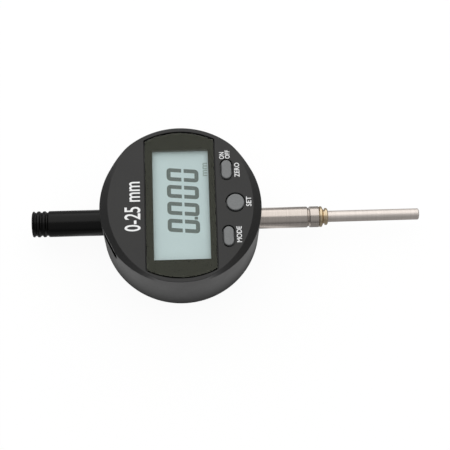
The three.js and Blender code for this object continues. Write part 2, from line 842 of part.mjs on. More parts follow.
function lowerBush() {
  const bodyRadius = stemBore - seatGap;
  const flangeStart = stemReach + seatGap;
  const coneStart = flangeStart + bushFlangeLength;
  const neckStart = coneStart + bushConeLength;
  const ringStart = neckStart + bushNeckLength;
  const ringEnd = ringStart + bushRingLength;
  const bush = turnAlongX([
    [bushBore, stemReach - bushBodyLength],
    [bodyRadius, stemReach - bushBodyLength],
    [bodyRadius, flangeStart],
    [bushFlangeRadius, flangeStart],
    [bushFlangeRadius, coneStart],
    [bushNeckRadius, neckStart],
    [bushNeckRadius, ringStart],
    [bushRingRadius, ringStart],
    [bushRingRadius, ringEnd],
    [bushNeckRadius, ringEnd + bushNoseLength],
    [bushBore, ringEnd + bushNoseLength],
    [bushBore, stemReach - bushBodyLength],
  ]);
  return piece("lower_bush", bush, 0xb08d57, 0.35, 1);
}

function upperBush() {
  const bush = turnAlongX([
    [bushBore, -upperBushReach],
    [upperBushRadius, -upperBushReach],
    [upperBushRadius, -lugInner],
    [bushBore, -lugInner],
    [bushBore, -upperBushReach],
  ]);
  return piece("upper_bush", bush, 0xb08d57, 0.35, 1);
}

function bumperRing() {
  const inner = spindleRadius + seatGap;
  const rubber = turnAlongX([
    [inner, bumperStart],
    [bumperRadius, bumperStart],
    [bumperRadius, bumperStart + bumperThickness],
    [inner, bumperStart + bumperThickness],
    [inner, bumperStart],
  ]);
  return piece("bumper_ring", rubber, 0x1c1c1c, 0.9, 0);
}

function spindle() {
  const rod = turnAlongX([
    [0, -spindleRear],
    [spindleRadius - spindleChamfer, -spindleRear],
    [spindleRadius, -spindleRear + spindleChamfer],
    [spindleRadius, spindleReach - spindleChamfer],
    [spindleRadius - spindleChamfer, spindleReach],
    [tipHoleRadius, spindleReach],
    [tipHoleRadius, spindleReach - tipHoleDepth],
    [0, spindleReach - tipHoleDepth],
  ]);
  return piece("spindle", rod, 0xc4c0b9, 0.25, 1);
}

function dustCap() {
  const base = -caseRadius + capSeatDepth - seatGap;
  const taper = (capRadius - capTipRadius) / (capReach + base);
  const radiusAt = (x) => capRadius - taper * (base - x);
  const outline = [
    [capBore, base],
    [capBore, -capReach + capCrown],
    [0, -capReach + capCrown],
    [0, -capReach],
    [capTipRadius - capTipRound, -capReach],
    [capTipRadius, -capReach + capTipRound],
  ];
  for (let i = 0; i < gripCount; i++) {
    const start = -capReach + gripStart + i * gripPitch;
    const end = start + gripGroove;
    outline.push([radiusAt(start), start]);
    outline.push([radiusAt(start) - gripDepth, start + gripDepth]);
    outline.push([radiusAt(end) - gripDepth, end - gripDepth]);
    outline.push([radiusAt(end), end]);
  }
  outline.push([capRadius, base]);
  outline.push([capBore, base]);
  return piece("dust_cap", turnAlongX(outline), 0x1b1b1a, 0.5, 0);
}

// Return spring between the upper bush's face and the carrier

class Helix extends THREE.Curve {
  getPoint(share, target = new THREE.Vector3()) {
    const start = -lugInner + seatGap + springWire / 2;
    const end = carrierStart - seatGap - springWire / 2;
    const angle = share * springTurns * 2 * Math.PI;
    const along = start + share * (end - start);
    return target.set(springRadius * Math.cos(angle), along, springRadius * Math.sin(angle));
  }
}

function returnSpring() {
  const section = new THREE.Shape();
  for (let i = 0; i < springSides; i++) {
    const angle = (i * 2 * Math.PI) / springSides;
    const corner = [(springWire / 2) * Math.cos(angle), (springWire / 2) * Math.sin(angle)];
    if (i === 0) section.moveTo(...corner);
    else section.lineTo(...corner);
  }
  section.closePath();
  const coil = new THREE.ExtrudeGeometry(section, {
    steps: springTurns * springSteps,
    extrudePath: new Helix(),
    bevelEnabled: false,
  });
  return piece("return_spring", toSolid(coil), 0xa8a8a6, 0.3, 1);
}

// Carrier on the spindle, with the fork that runs on the guide rod

function carrierParts() {
  const low = spindleHeight - carrierBelow;
  let body = block([carrierStart, -carrierFarSide, low], [carrierEnd, carrierNearSide, carrierTop]);
  body = body.subtract(bar(carrierStart - overrun, carrierEnd + overrun, spindleRadius + seatGap));
  const fork = guideRodRadius + slideGap;
  body = body.subtract(block(
    [carrierStart - overrun, -carrierFarSide - overrun, spindleHeight - fork],
    [carrierEnd + overrun, -guideRodY + fork, spindleHeight + fork],
  ));
  const middle = (carrierStart + carrierEnd) / 2;
  const crossBar = (radius, from, to) => {
    const geometry = new THREE.CylinderGeometry(radius, radius, to - from, holeFacets);
    geometry.translate(middle, (from + to) / 2, spindleHeight);
    return toSolid(geometry);
  };
  body = body.subtract(crossBar(carrierScrewRadius + seatGap, 0, carrierNearSide + overrun));
  const screw = crossBar(carrierScrewRadius, spindleRadius + seatGap, carrierNearSide - seatGap);
  const plate = block(
    [carrierEnd - pickupLength, -pickupHalfWidth, pickupLow],
    [carrierEnd, pickupHalfWidth, pickupTop],
  );
  return [
    piece("carrier", body, 0xa2a4a5, 0.4, 1),
    piece("carrier_screw", screw, 0x6e6e6c, 0.4, 1),
    piece("pickup_plate", plate, 0x2a6b48, 0.5, 0),
  ];
}

// Assembly

const spindleLine = new THREE.Group();
spindleLine.position.z = spindleHeight;
spindleLine.rotation.z = -Math.PI / 2;
spindleLine.add(stem(), stemNut(), lowerBush(), upperBush(), bumperRing());
spindleLine.add(spindle(), dustCap(), returnSpring());

const housing = new THREE.Group();
housing.add(frontCase(), windowLens(), backCover());
coverScrewPlaces.forEach((place, i) => housing.add(coverScrew(`back_screw_${i + 1}`, place)));

const keys = new THREE.Group();
keys.add(ovalKey("button_on_zero", 1), roundKey(), ovalKey("button_mode", -1), keyMat());

const electronics = new THREE.Group();
electronics.add(mainBoard(), controllerChip(), scaleBoard(), portParts(), ...displayParts());
boardScrewPlaces.forEach((place, i) => electronics.add(boardScrew(`board_screw_${i + 1}`, place)));

const battery = new THREE.Group();
battery.add(batteryDoor(), doorSeal(), batteryCell(), batteryHolder(), ...batteryContacts());

const mechanism = new THREE.Group();
mechanism.add(innerFrame(), guideRod(), ...carrierParts());

const indicator = new THREE.Group();
indicator.add(housing, keys, electronics, battery, mechanism, spindleLine);

export default indicator;
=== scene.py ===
import math

import bmesh
import bpy
from mathutils import Matrix, Vector


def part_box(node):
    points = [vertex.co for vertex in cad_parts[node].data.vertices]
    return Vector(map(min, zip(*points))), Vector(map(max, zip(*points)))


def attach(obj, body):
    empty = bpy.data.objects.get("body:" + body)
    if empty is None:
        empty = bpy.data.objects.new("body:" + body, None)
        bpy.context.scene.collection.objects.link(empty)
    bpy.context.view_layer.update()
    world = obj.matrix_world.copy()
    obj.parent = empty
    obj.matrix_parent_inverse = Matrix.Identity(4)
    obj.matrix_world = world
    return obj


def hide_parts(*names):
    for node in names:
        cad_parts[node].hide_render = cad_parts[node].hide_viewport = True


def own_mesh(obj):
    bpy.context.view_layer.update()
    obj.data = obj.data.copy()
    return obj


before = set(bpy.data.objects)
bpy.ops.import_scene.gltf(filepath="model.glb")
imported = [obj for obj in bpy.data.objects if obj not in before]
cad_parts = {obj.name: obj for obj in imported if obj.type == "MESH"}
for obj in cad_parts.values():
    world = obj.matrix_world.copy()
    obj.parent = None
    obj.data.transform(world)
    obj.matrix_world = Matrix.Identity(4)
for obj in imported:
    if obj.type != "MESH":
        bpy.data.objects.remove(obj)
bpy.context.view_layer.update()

# Electronic dial indicator lying on its back. Sizes are in millimetres unless they say otherwise;
# +X runs along the spindle towards its measuring end, and +Z out of the display.
MM = 0.001

# Case and bezel
CASE_RADIUS = 30
CASE_DEPTH = 30
CASE_WALL = 2.4
CAVITY_RADIUS = CASE_RADIUS - CASE_WALL
REAR_EDGE = 0.4
BEZEL_DEPTH = 2.8
BEZEL_WIDTH = 3.2
SLOPE_SHIFT = 9.6
SLOPE_LOW_SHIFT = 5
SLOPE_FADE = 0.48
SLOPE_END = 0.848
SHOULDER = CASE_DEPTH - BEZEL_DEPTH
SHOULDER_LEAST = 0.5
FACE_EDGE = 0.15
SHOULDER_EDGE = 0.2
CEILING = 26.65
KEY_CEILING = 28
SPINDLE_HEIGHT = 10.6
BOSS_RADIUS = 6
BOSS_LENGTH = 2.6
COVER_BOSS_RADIUS = 2.2
BOARD_BOSS_RADIUS = 2
BOARD_BOSS_LOW = 18.85
COVER_HOLE_END = 8.65
BOARD_HOLE_LOW = 17
BOARD_HOLE_HIGH = 22.75
KEY_POCKET_LOW = (14.02, -18.07)
KEY_POCKET_HIGH = (24.88, 18.07)
OPENING_EDGE = 0.12

# Window and display
LEDGE = 28.05
LENS_HALF_WIDTH = 12.85
LENS_RADIUS = 28.15
LENS_GROOVE = 0.4
LENS_CORNER = 0.8
LENS_LOW = 28.3
LENS_HIGH = 29.8
LENS_EDGE = 0.15
MASK_LOW = 28.17
MASK_HIGH = 28.27
DISPLAY_X = 0.25
DISPLAY_Y = 0.5
DISPLAY_HALF_WIDTH = 10.4
DISPLAY_HALF_LENGTH = 21.4
GLASS_MARGIN = 1.7
GLASS_END_MARGIN = 1.1
GLASS_LOW = 23.65
GLASS_HIGH = 26.4
GLASS_EDGE = 0.15

# Figures on the display; they are read from -Y to +Y, with their tops towards -X
FIGURE_TOP = -4.93
FIGURE_FOOT = 6.95
FIGURE_MIDDLE = (FIGURE_TOP + FIGURE_FOOT) / 2
FIGURE_WIDTH = 5.05
FIGURE_STROKE = 1.5
FIGURE_GAP = 0.9
FIGURE_SLANT = 0.095
FIGURE_ROUNDING = 1.4
FIGURE_MIDDLES = (12.45, 5.8, -0.85, -7.5)
POINT_LOW = (5.05, -5.15)
POINT_HIGH = (6.3, -4.05)
POINT_ROUNDING = 0.3
INK_THICKNESS = 0.03
CAPITAL_SHARE = 0.7

# Push buttons
OVAL_KEY_X = 17.315
OVAL_KEY_Y = 12.97
OVAL_HALF_WIDTH = 1.8
OVAL_HALF_LENGTH = 3.6
ROUND_KEY_X = 20.23
ROUND_KEY_RADIUS = 3.15
KEY_GAP = 0.6
KEY_TOP = 30.5
KEY_EDGE = 0.3
KEY_FLANGE = 1
FLANGE_LOW = 26.55
FLANGE_HIGH = 27.75
PLUNGER_LOW = 22
PLUNGER_RADIUS = 1.3

# Back cover, its screws and the battery door
COVER_RADIUS = 28.25
COVER_TOP = 2.4
COVER_SEAT = 2.65
COVER_EDGE = 0.3
COVER_SCREWS = [(side_x * 15.64, side_y * 20.02) for side_x in (-1, 1) for side_y in (-1, 1)]
BOARD_SCREWS = [(-17.5, 9), (-17.5, -9), (22.8, 7.2)]
HEAD_RADIUS = 1.6
HEAD_LOW = 0.15
HEAD_HIGH = 1.35
SHANK_RADIUS = 0.8
SHANK_END = 7.35
DRIVE_HALF_LENGTH = 1
DRIVE_HALF_WIDTH = 0.22
DRIVE_DEPTH = 0.7
DOOR_Y = 15
DOOR_RADIUS = 7.5
DOOR_PLUG_RADIUS = 6.2
DOOR_LOW = 0.1
DOOR_FLANGE = 0.85
DOOR_TOP = 3.4
DOOR_LEDGE = 0.6
DOOR_TAB_REACH = 7.15
DOOR_TAB_ANGLE = math.radians(30)
DOOR_TURN = math.radians(60)
COIN_SLOT_HALF_WIDTH = 0.75
COIN_SLOT_HALF_LENGTH = 4.5
COIN_SLOT_DEPTH = 0.5

# Data port
PORT_TURN = math.radians(205)
PORT_FACE = 29.4
PORT_FLAT_LOW = 14
PORT_FLAT_RUN = 10
PORT_HALF_WIDTH = 4.6
PORT_LOW = 22.4
PORT_HIGH = 25.6
PORT_RIM = 0.2
PORT_SEAT = 5
PORT_SEAT_DEPTH = 0.5
PORT_SEAT_LEAN = 0.2
PORT_SEAT_MARGIN = 0.3
PORT_COVER_FACE = 28.5
PORT_COVER_BACK = 26.8
PORT_COVER_EDGE = 0.2
NOTCH_Y = 5.2
NOTCH_HALF_WIDTH = 1.15
NOTCH_HALF_HEIGHT = 2.6
NOTCH_FLOOR = 28.2

# Stem, bushes, spindle and cap
STEM_RADIUS = 4
STEM_BORE = 3.15
STEM_START = 19.9
STEM_END = 52.65
STEM_CHAMFER = 0.2
GROOVE_START = 48
GROOVE_END = 49.2
GROOVE_DEPTH = 0.5
SPINDLE_RADIUS = 2.15
SPINDLE_START = -26
SPINDLE_END = 91.1
SPINDLE_CHAMFER = 0.35
TIP_HOLE_RADIUS = 1.05
TIP_HOLE_DEPTH = 6
BUSH_BORE = 2.25
BUSH_REAR = 42.65
# Radius and place of the bush's flange, cone, neck, ring and nose
BUSH_STEPS = [(3.95, 52.9), (3.95, 53.7), (2.65, 54.35), (2.65, 54.9), (3.25, 54.9), (3.25, 55.65),
              (2.65, 56.05)]
UPPER_BUSH_RADIUS = 3.3
UPPER_BUSH_START = -38
UPPER_BUSH_END = -22.4
UPPER_BUSH_CHAMFER = 0.3
CAP_RADIUS = 4.98
CAP_TIP_RADIUS = 4.95
CAP_BORE = 3.6
CAP_START = -29.25
CAP_END = -56.4
CAP_SEAT = 1
CAP_CROWN = 1.4
CAP_TIP_ROUNDING = 0.5
GRIP_STARTS = (-55.8, -53.65, -51.5)
GRIP_WIDTH = 1.45
GRIP_DEPTH = 0.55
SPRING_START = -22.14
SPRING_END = 11.78
SPRING_RADIUS = 2.95
SPRING_WIRE = 0.45
SPRING_TURNS = 12
SPRING_WIRE_SIDES = 10
SPRING_STEPS = 28

# Clearance between fitted pieces, and how far a cutter reaches past what it cuts
GAP = 0.25
OVERRUN = 1

# Facets round each kind of curve
CASE_SIDES = 360
ROD_SIDES = 96
KEY_SIDES = 64
HOLE_SIDES = 32

# Camera, and a lamp placed and sized in metres
CAMERA_TARGET = (16.69, -2.12, 10)
CAMERA_DISTANCE = 480
CAMERA_TILT = math.radians(18.3206)
CAMERA_SWING = math.radians(1.8475)
CAMERA_ROLL = math.radians(2.1809)
CAMERA_LENS = 100.427
LAMP_PLACE = (0, 0.609, 0.793)
LAMP_WIDTH = 2.4
LAMP_LENGTH = 1.7
LAMP_RADIANCE = 0.96

# Painted shade and light that reflections see on the floor: dark close round the object, a bright ring a
# little way out, duller beyond; shares of a distance from the object's middle, and tones
PAINTED_POOL_REACH = 100
PAINTED_SHADE_AND_POOL_TONES = [(0.3, "#707070"), (0.34, "#b0b0b0"), (0.37, "#d6d6d6"), (0.41, "#d0d0d0"),
              (0.48, "#909090"), (0.65, "#7c7c7c"), (1, "#8c8c8c")]


# Selecting and shaping

def deselect():
    bpy.ops.object.select_all(action="DESELECT")


def only(piece):
    deselect()
    piece.select_set(True)
    bpy.context.view_layer.objects.active = piece


def edit(piece, mode="VERT"):
    """Opens a piece for editing, with nothing picked."""
    only(piece)
    bpy.ops.object.mode_set(mode="EDIT")
    bpy.ops.mesh.select_mode(type=mode)
    bpy.ops.mesh.select_all(action="DESELECT")


def done():
    bpy.ops.object.mode_set(mode="OBJECT")


def pick(piece, kind, wanted):
    """Picks the points, edges or faces whose place in millimetres, and for faces the normal, is wanted."""
    bpy.ops.mesh.select_all(action="DESELECT")
    mesh = bmesh.from_edit_mesh(piece.data)
    for part in getattr(mesh, kind):
        if kind == "verts":
            hit = wanted(part.co / MM)
        elif kind == "edges":
            hit = all(wanted(end.co / MM) for end in part.verts)
        else:
            hit = wanted(part.calc_center_median() / MM, part.normal)
        if hit:
            part.select_set(True)
    bmesh.update_edit_mesh(piece.data)


def fresh(name):
    """Names the primitive just added and puts its place into its mesh."""
    piece = bpy.context.object
    piece.name = name
    piece.data.name = name
    bpy.ops.object.transform_apply(location=True, rotation=True, scale=True)
    return piece


def cylinder(name, radius, low, high, x=0, y=0, sides=KEY_SIDES):
    """Upright round bar between two heights."""
    deselect()
    bpy.ops.mesh.primitive_cylinder_add(
        vertices=sides, radius=radius * MM, depth=(high - low) * MM,
        location=(x * MM, y * MM, (low + high) / 2 * MM),
        rotation=(0, 0, math.pi / sides),
    )
    return fresh(name)


def rod(name, radius, start, end, y=0, z=SPINDLE_HEIGHT, sides=ROD_SIDES):
    """Round bar along X."""
    deselect()
    bpy.ops.mesh.primitive_cylinder_add(
        vertices=sides, radius=radius * MM, depth=(end - start) * MM,
        location=((start + end) / 2 * MM, y * MM, z * MM),
        rotation=(0, math.pi / 2, 0),
    )
    return fresh(name)


def block(name, low, high):
    deselect()
    middle = [(a + b) / 2 * MM for a, b in zip(low, high)]
    size = [(b - a) * MM for a, b in zip(low, high)]
    bpy.ops.mesh.primitive_cube_add(size=1, location=middle, scale=size)
    return fresh(name)


def drawn(name, points):
    """A line drawn point by point: a plane merged to its middle, then extruded along."""
    deselect()
    bpy.ops.mesh.primitive_plane_add(size=MM, location=Vector(points[0]) * MM)
    piece = fresh(name)
    edit(piece)
    bpy.ops.mesh.select_all(action="SELECT")
    bpy.ops.mesh.merge(type="CENTER")
    for here, there in zip(points, points[1:]):
        step = (Vector(there) - Vector(here)) * MM
        bpy.ops.mesh.extrude_region_move(TRANSFORM_OT_translate={"value": step})
    return piece


def spun(name, points, centre, axis, sides=ROD_SIDES):
    """A drawn outline spun all the way round an axis."""
    piece = drawn(name, points)
    bpy.ops.mesh.select_all(action="SELECT")
    bpy.ops.mesh.spin(steps=sides, angle=2 * math.pi, center=[c * MM for c in centre], axis=axis)
    tidy_mesh()
    done()
    return piece


def tidy_mesh():
    """Closes the seams of the piece that is open for editing and turns its faces outwards."""
    bpy.ops.mesh.select_all(action="SELECT")
    bpy.ops.mesh.remove_doubles(threshold=1e-6)
    bpy.ops.mesh.dissolve_degenerate(threshold=1e-7)
    bpy.ops.mesh.select_all(action="SELECT")
    bpy.ops.mesh.normals_make_consistent(inside=False)


def apply_modifier(piece, kind, **settings):
    only(piece)
    bpy.ops.object.modifier_add(type=kind)
    modifier = piece.modifiers[-1]
    for name, value in settings.items():
        setattr(modifier, name, value)
    bpy.ops.object.modifier_apply(modifier=modifier.name)


def round_edges(piece, width, segments=3, angle=30):
    """Rounds every edge that is sharper than an angle."""
    apply_modifier(piece, "BEVEL", width=width * MM, segments=segments, limit_method="ANGLE",
                   angle_limit=math.radians(angle), use_clamp_overlap=True)


def combine(piece, other, operation):
    apply_modifier(piece, "BOOLEAN", object=other, operation=operation, solver="EXACT")
    bpy.data.objects.remove(other)


def cut(piece, *others):
    for other in others:
        combine(piece, other, "DIFFERENCE")


def fuse(piece, *others):
    for other in others:
        combine(piece, other, "UNION")


def bevel_picked(width, segments=2):
    bpy.ops.mesh.bevel(offset=width * MM, segments=segments, affect="EDGES")


def rotated(piece, angle):
    """Turned about the case's upright axis."""
    only(piece)
    piece.rotation_euler.z = angle
    bpy.ops.object.transform_apply(location=True, rotation=True, scale=True)
    return piece


def moved(piece, move):
    only(piece)
    piece.location = Vector(move) * MM
    bpy.ops.object.transform_apply(location=True, rotation=True, scale=True)
    return piece


def copied(piece, name, move):
    """A copy with its own mesh, moved in millimetres."""
    only(piece)
    bpy.ops.object.duplicate(linked=False)
    copy = bpy.context.object
    copy.name = name
    copy.data.name = name
    return moved(copy, move)


def joined(name, pieces):
    deselect()
    for piece in pieces:
        piece.select_set(True)
    bpy.context.view_layer.objects.active = pieces[0]
    bpy.ops.object.join()
    pieces[0].name = name
    pieces[0].data.name = name
    return pieces[0]


def smooth(piece, angle=35):
    """Smooth over curves and bevels, with the flats kept flat."""
    only(piece)
    bpy.ops.object.shade_smooth_by_angle(angle=math.radians(angle))
    apply_modifier(piece, "WEIGHTED_NORMAL", keep_sharp=True, weight=100)


def oval(name, x, y, half_width, half_length, low, high, sides=KEY_SIDES):
    """Upright bar with straight sides and round ends: a round one whose halves are moved apart."""
    piece = cylinder(name, half_width, low, high, x, y, sides)
    reach = half_length - half_width
    edit(piece)
    for side in (-1, 1):
        pick(piece, "verts", lambda at: side * (at.y - y) > 0)
        bpy.ops.transform.translate(value=(0, side * reach * MM, 0))
    done()
    return piece


def window_bar(name, half_width, radius, low, high):
    """Upright bar of the window's outline: a round one cut by two straight sides, corners taken off."""
    piece = cylinder(name, radius, low, high, sides=CASE_SIDES)
    edit(piece)
    for side in (-1, 1):
        bpy.ops.mesh.select_all(action="SELECT")
        bpy.ops.mesh.bisect(plane_co=(side * half_width * MM, 0, 0), plane_no=(side, 0, 0),
                            use_fill=True, clear_outer=True, threshold=1e-7)
    bpy.ops.mesh.select_mode(type="EDGE")
    corner = math.sqrt(radius ** 2 - half_width ** 2)
    for side in (-1, 1):
        pick(piece, "edges", lambda at: abs(abs(at.x) - half_width) < 0.01 and side * at.y > corner - 0.05)
        bevel_picked(LENS_CORNER, 1)
    done()
    return piece


# Surfaces

def colour(code):
    """An sRGB hex value made linear."""
    parts = [int(code[i:i + 2], 16) / 255 for i in (1, 3, 5)]
    return [c / 12.92 if c <= 0.04045 else ((c + 0.055) / 1.055) ** 2.4 for c in parts] + [1]


def every(size):
    """Pattern scale for details of a size in millimetres."""
    return 1 / (size * MM)


def node(tree, kind, inputs=None, stops=(), **settings):
    """Adds a node with its settings, links and ramp stops; a node as input is linked by its first output."""
    made = tree.nodes.new(kind)
    for name, value in settings.items():
        setattr(made, name, value)
    for name, value in (inputs or {}).items():
        if isinstance(value, bpy.types.Node):
            value = value.outputs[0]
        if isinstance(value, bpy.types.NodeSocket):
            tree.links.new(value, made.inputs[name])
        else:
            made.inputs[name].default_value = value
    for i, (position, code) in enumerate(stops):
        elements = made.color_ramp.elements
        stop = elements[i] if i < 2 else elements.new(position)
        stop.position = position
        stop.color = colour(code)
    return made


def surface(name):
    """A material, its empty node tree and the piece's own coordinates."""
    material = bpy.data.materials.new(name)
    material.use_nodes = True
    tree = material.node_tree
    tree.nodes.clear()
    return material, tree, node(tree, "ShaderNodeTexCoord").outputs["Object"]


def moulded_plastic(name, dark, light, grain, depth, rough, level=0.5):
    """Plastic out of a spark-eroded tool: an even fine grain that breaks the gloss into a soft sheen.

    The real grain, about 0.1 mm, is drawn two to four times as coarse, so that it shows.
    """
    material, tree, place = surface(name)
    tone = node(tree, "ShaderNodeTexNoise", {"Vector": place, "Scale": every(0.6), "Detail": 3})
    patches = node(tree, "ShaderNodeTexNoise", {"Vector": place, "Scale": every(9), "Detail": 3})
    pits = node(tree, "ShaderNodeTexNoise", {"Vector": place, "Scale": every(grain), "Detail": 2})
    shader = node(tree, "ShaderNodeBsdfPrincipled", {
        "Base Color": node(tree, "ShaderNodeValToRGB", {"Fac": tone}, ((0.35, dark), (0.65, light))),
        "Roughness": node(tree, "ShaderNodeMapRange", {
            "Value": patches, "To Min": rough - 0.05, "To Max": rough + 0.05}),
        "Specular IOR Level": level,
        "IOR": 1.53,
        "Normal": node(tree, "ShaderNodeBump", {"Height": pits, "Distance": depth * MM}),
    })
    node(tree, "ShaderNodeOutputMaterial", {"Surface": shader})
    return material


def metal(name, dark, light, smoothest, roughest, patch, grain, detail, depth, stretch=(1, 1, 1)):
    """Its tone drifts over patches, and its roughness and relief follow a finer grain."""
    material, tree, place = surface(name)
    along = node(tree, "ShaderNodeMapping", {"Vector": place, "Scale": stretch})
    tone = node(tree, "ShaderNodeTexNoise", {"Vector": along, "Scale": every(patch), "Detail": 3})
    marks = node(tree, "ShaderNodeTexNoise", {"Vector": along, "Scale": every(grain), "Detail": detail})
    shader = node(tree, "ShaderNodeBsdfPrincipled", {
        "Base Color": node(tree, "ShaderNodeValToRGB", {"Fac": tone}, ((0.35, dark), (0.65, light))),
        "Metallic": 1,
        "Roughness": node(tree, "ShaderNodeMapRange", {
            "Value": marks, "To Min": smoothest, "To Max": roughest}),
        "Normal": node(tree, "ShaderNodeBump", {"Height": marks, "Distance": depth * MM}),
    })
    node(tree, "ShaderNodeOutputMaterial", {"Surface": shader})
    return material


def turned_metal(name, dark, light, rough, spread, pitch, depth):
    """Metal finished on a lathe or grinder: hair lines round the axis, so light draws out along the piece.

    The real lines, about 0.02 mm apart, are drawn five times as far apart, so that they show.
    """
    along_axis = (1, 0.02, 0.02)
    return metal(name, dark, light, rough - spread, rough + spread, pitch * 4, pitch, 2, depth, along_axis)


def plain_metal(name, dark, light, rough):
    """Sheet, wire or plated metal: a faint cloudy tone over 3 mm and scuffs of 0.8 mm."""
    return metal(name, dark, light, rough - 0.06, rough + 0.08, 3, 0.8, 4, 0.004)


def soft_coat(name, dark, light, rough, level, patch, grain, detail, depth):
    """An even colour that drifts a little over patches, on a fine dry relief."""
    material, tree, place = surface(name)
    tone = node(tree, "ShaderNodeTexNoise", {"Vector": place, "Scale": every(patch), "Detail": 3})
    relief = node(tree, "ShaderNodeTexNoise", {"Vector": place, "Scale": every(grain), "Detail": detail})
    shader = node(tree, "ShaderNodeBsdfPrincipled", {
        "Base Color": node(tree, "ShaderNodeValToRGB", {"Fac": tone}, ((0.35, dark), (0.65, light))),
        "Roughness": rough,
        "IOR": 1.5,
        "Specular IOR Level": level,
        "Normal": node(tree, "ShaderNodeBump", {"Height": relief, "Distance": depth * MM}),
    })
    node(tree, "ShaderNodeOutputMaterial", {"Surface": shader})
    return material


def rubber(name, dark, light, rough, level=0.5):
    """Moulded rubber: no shine, with a dusty bloom of 0.3 mm."""
    return soft_coat(name, dark, light, rough, level, 1.5, 0.3, 3, 0.01)


def ink(name, dark, light, rough, level=0.5):
    """Printed ink: flat, with a slightly grainy surface."""
    return soft_coat(name, dark, light, rough, level, 0.5, 0.15, 2, 0.003)


def acrylic():
    """Cast acrylic window: clear, with a polished, faintly wavy face that carries the lamp's reflection."""
    material, tree, place = surface("clear_acrylic")
    wave = node(tree, "ShaderNodeTexNoise", {"Vector": place, "Scale": every(14), "Detail": 1})
    normal = node(tree, "ShaderNodeBump", {"Height": wave, "Distance": 0.006 * MM})
    clear = node(tree, "ShaderNodeBsdfTransparent", {"Color": colour("#fdfefe")})
    gloss = node(tree, "ShaderNodeBsdfGlossy", {
        "Color": colour("#ebefdb"), "Roughness": 0.06, "Normal": normal})
    fresnel = node(tree, "ShaderNodeFresnel", {"IOR": 1.49, "Normal": normal})
    inside = node(tree, "ShaderNodeNewGeometry").outputs["Backfacing"]
    front = node(tree, "ShaderNodeMath", {0: 1, 1: inside}, operation="SUBTRACT")
    share = node(tree, "ShaderNodeMath", {0: fresnel, 1: front}, operation="MULTIPLY")
    mix = node(tree, "ShaderNodeMixShader", {0: share, 1: clear, 2: gloss})
    node(tree, "ShaderNodeOutputMaterial", {"Surface": mix})
    return material


def display_film():
    """Reflective liquid crystal glass: a pale green-grey with the fine tooth of its diffusing film."""
    material, tree, place = surface("display_film")
    tone = node(tree, "ShaderNodeTexNoise", {"Vector": place, "Scale": every(16), "Detail": 3})
    tooth = node(tree, "ShaderNodeTexNoise", {"Vector": place, "Scale": every(0.25), "Detail": 2})
    shader = node(tree, "ShaderNodeBsdfPrincipled", {
        "Base Color": node(tree, "ShaderNodeValToRGB", {"Fac": tone}, ((0.3, "#c0d1d3"), (0.7, "#c6d7d9"))),
        "Roughness": 0.35,
        "IOR": 1.5,
        "Specular IOR Level": 0.3,
        "Normal": node(tree, "ShaderNodeBump", {"Height": tooth, "Distance": 0.002 * MM}),
    })
    node(tree, "ShaderNodeOutputMaterial", {"Surface": shader})
    return material


def circuit_board():
    """Solder mask over copper: deep green with faint lighter tracks 1.6 mm apart and a wet gloss."""
    material, tree, place = surface("solder_mask")
    tracks = node(tree, "ShaderNodeTexVoronoi", {"Vector": place, "Scale": every(1.6)},
                  feature="F1", distance="MANHATTAN")
    ramp = node(tree, "ShaderNodeValToRGB", {"Fac": tracks}, ((0.42, "#1c5f3f"), (0.46, "#2b7a54")))
    shader = node(tree, "ShaderNodeBsdfPrincipled", {
        "Base Color": ramp,
        "Roughness": 0.3,
        "IOR": 1.55,
        "Normal": node(tree, "ShaderNodeBump", {"Height": ramp, "Distance": 0.03 * MM}),
    })
    node(tree, "ShaderNodeOutputMaterial", {"Surface": shader})
    return material


# Moulded case: satin black, its grain spreads every reflection
CASE_BLACK = moulded_plastic("textured_black_abs", "#1d1d1d", "#212121", 0.3, 0.006, 0.4, level=0.4)
# Moulded back cover: a tone lighter than the case, with a coarser and duller grain
COVER_BLACK = moulded_plastic("matt_black_abs", "#2f2f2f", "#363636", 0.35, 0.02, 0.5)
# Moulded keys: matt mid grey
KEY_GREY = moulded_plastic("grey_key_abs", "#707273", "#787a7b", 0.2, 0.004, 0.45)
# Cap moulded in a polished tool: deep black with one long soft highlight
CAP_BLACK = moulded_plastic("glossy_black_acetal", "#010101", "#020201", 0.5, 0.002, 0.26, level=0.2)
# Moulded port cover: dull black
PORT_BLACK = moulded_plastic("port_cover_abs", "#050505", "#080808", 0.25, 0.008, 0.5, level=0.2)
# Painted shade lining the port's recesses: black that gives back almost no light
PAINTED_PORT_SHADE = rubber("painted_port_shade", "#020202", "#030303", 0.7, level=0.05)
# Moulded polycarbonate: milky white with a weak shine
WHITE_MOULDING = moulded_plastic("white_polycarbonate", "#dcdcd6", "#e6e6e1", 0.4, 0.006, 0.4)
# Moulded epoxy: dry charcoal
CHIP_BLACK = moulded_plastic("epoxy_package", "#1d1d1d", "#242424", 0.2, 0.006, 0.55)
ACRYLIC = acrylic()
# Screen print on the window's back: brownish black without a shine of its own
MASK_INK = ink("black_window_print", "#0d0d0b", "#10100e", 0.6, level=0)
# Pad print of the words: plain white
WHITE_INK = ink("white_pad_print", "#f0f1f2", "#f8f9fa", 0.5)
DISPLAY_FILM = display_film()
# Segments that are switched on: dark grey-green, and the unit's: faint
SEGMENT_INK = ink("display_segment", "#616b6a", "#687271", 0.4, level=0)
FAINT_INK = ink("display_segment_faint", "#98a8a5", "#9fafad", 0.4, level=0)
# Ground stem: warm grey steel with a tight bright streak along its top
STEM_STEEL = turned_metal("ground_stainless_steel", "#c4bbb4", "#ccc3bc", 0.24, 0.02, 0.09, 0.001)
# Fine-ground spindle: paler steel, evenly soft
SPINDLE_STEEL = turned_metal("fine_ground_stainless_steel", "#e0d8d2", "#e8e0da", 0.5, 0.02, 0.12, 0.0006)
# Turned brass: pale yellow with fine rings
BUSH_BRASS = turned_metal("turned_brass", "#cdba9a", "#dccbb0", 0.3, 0.03, 0.1, 0.001)
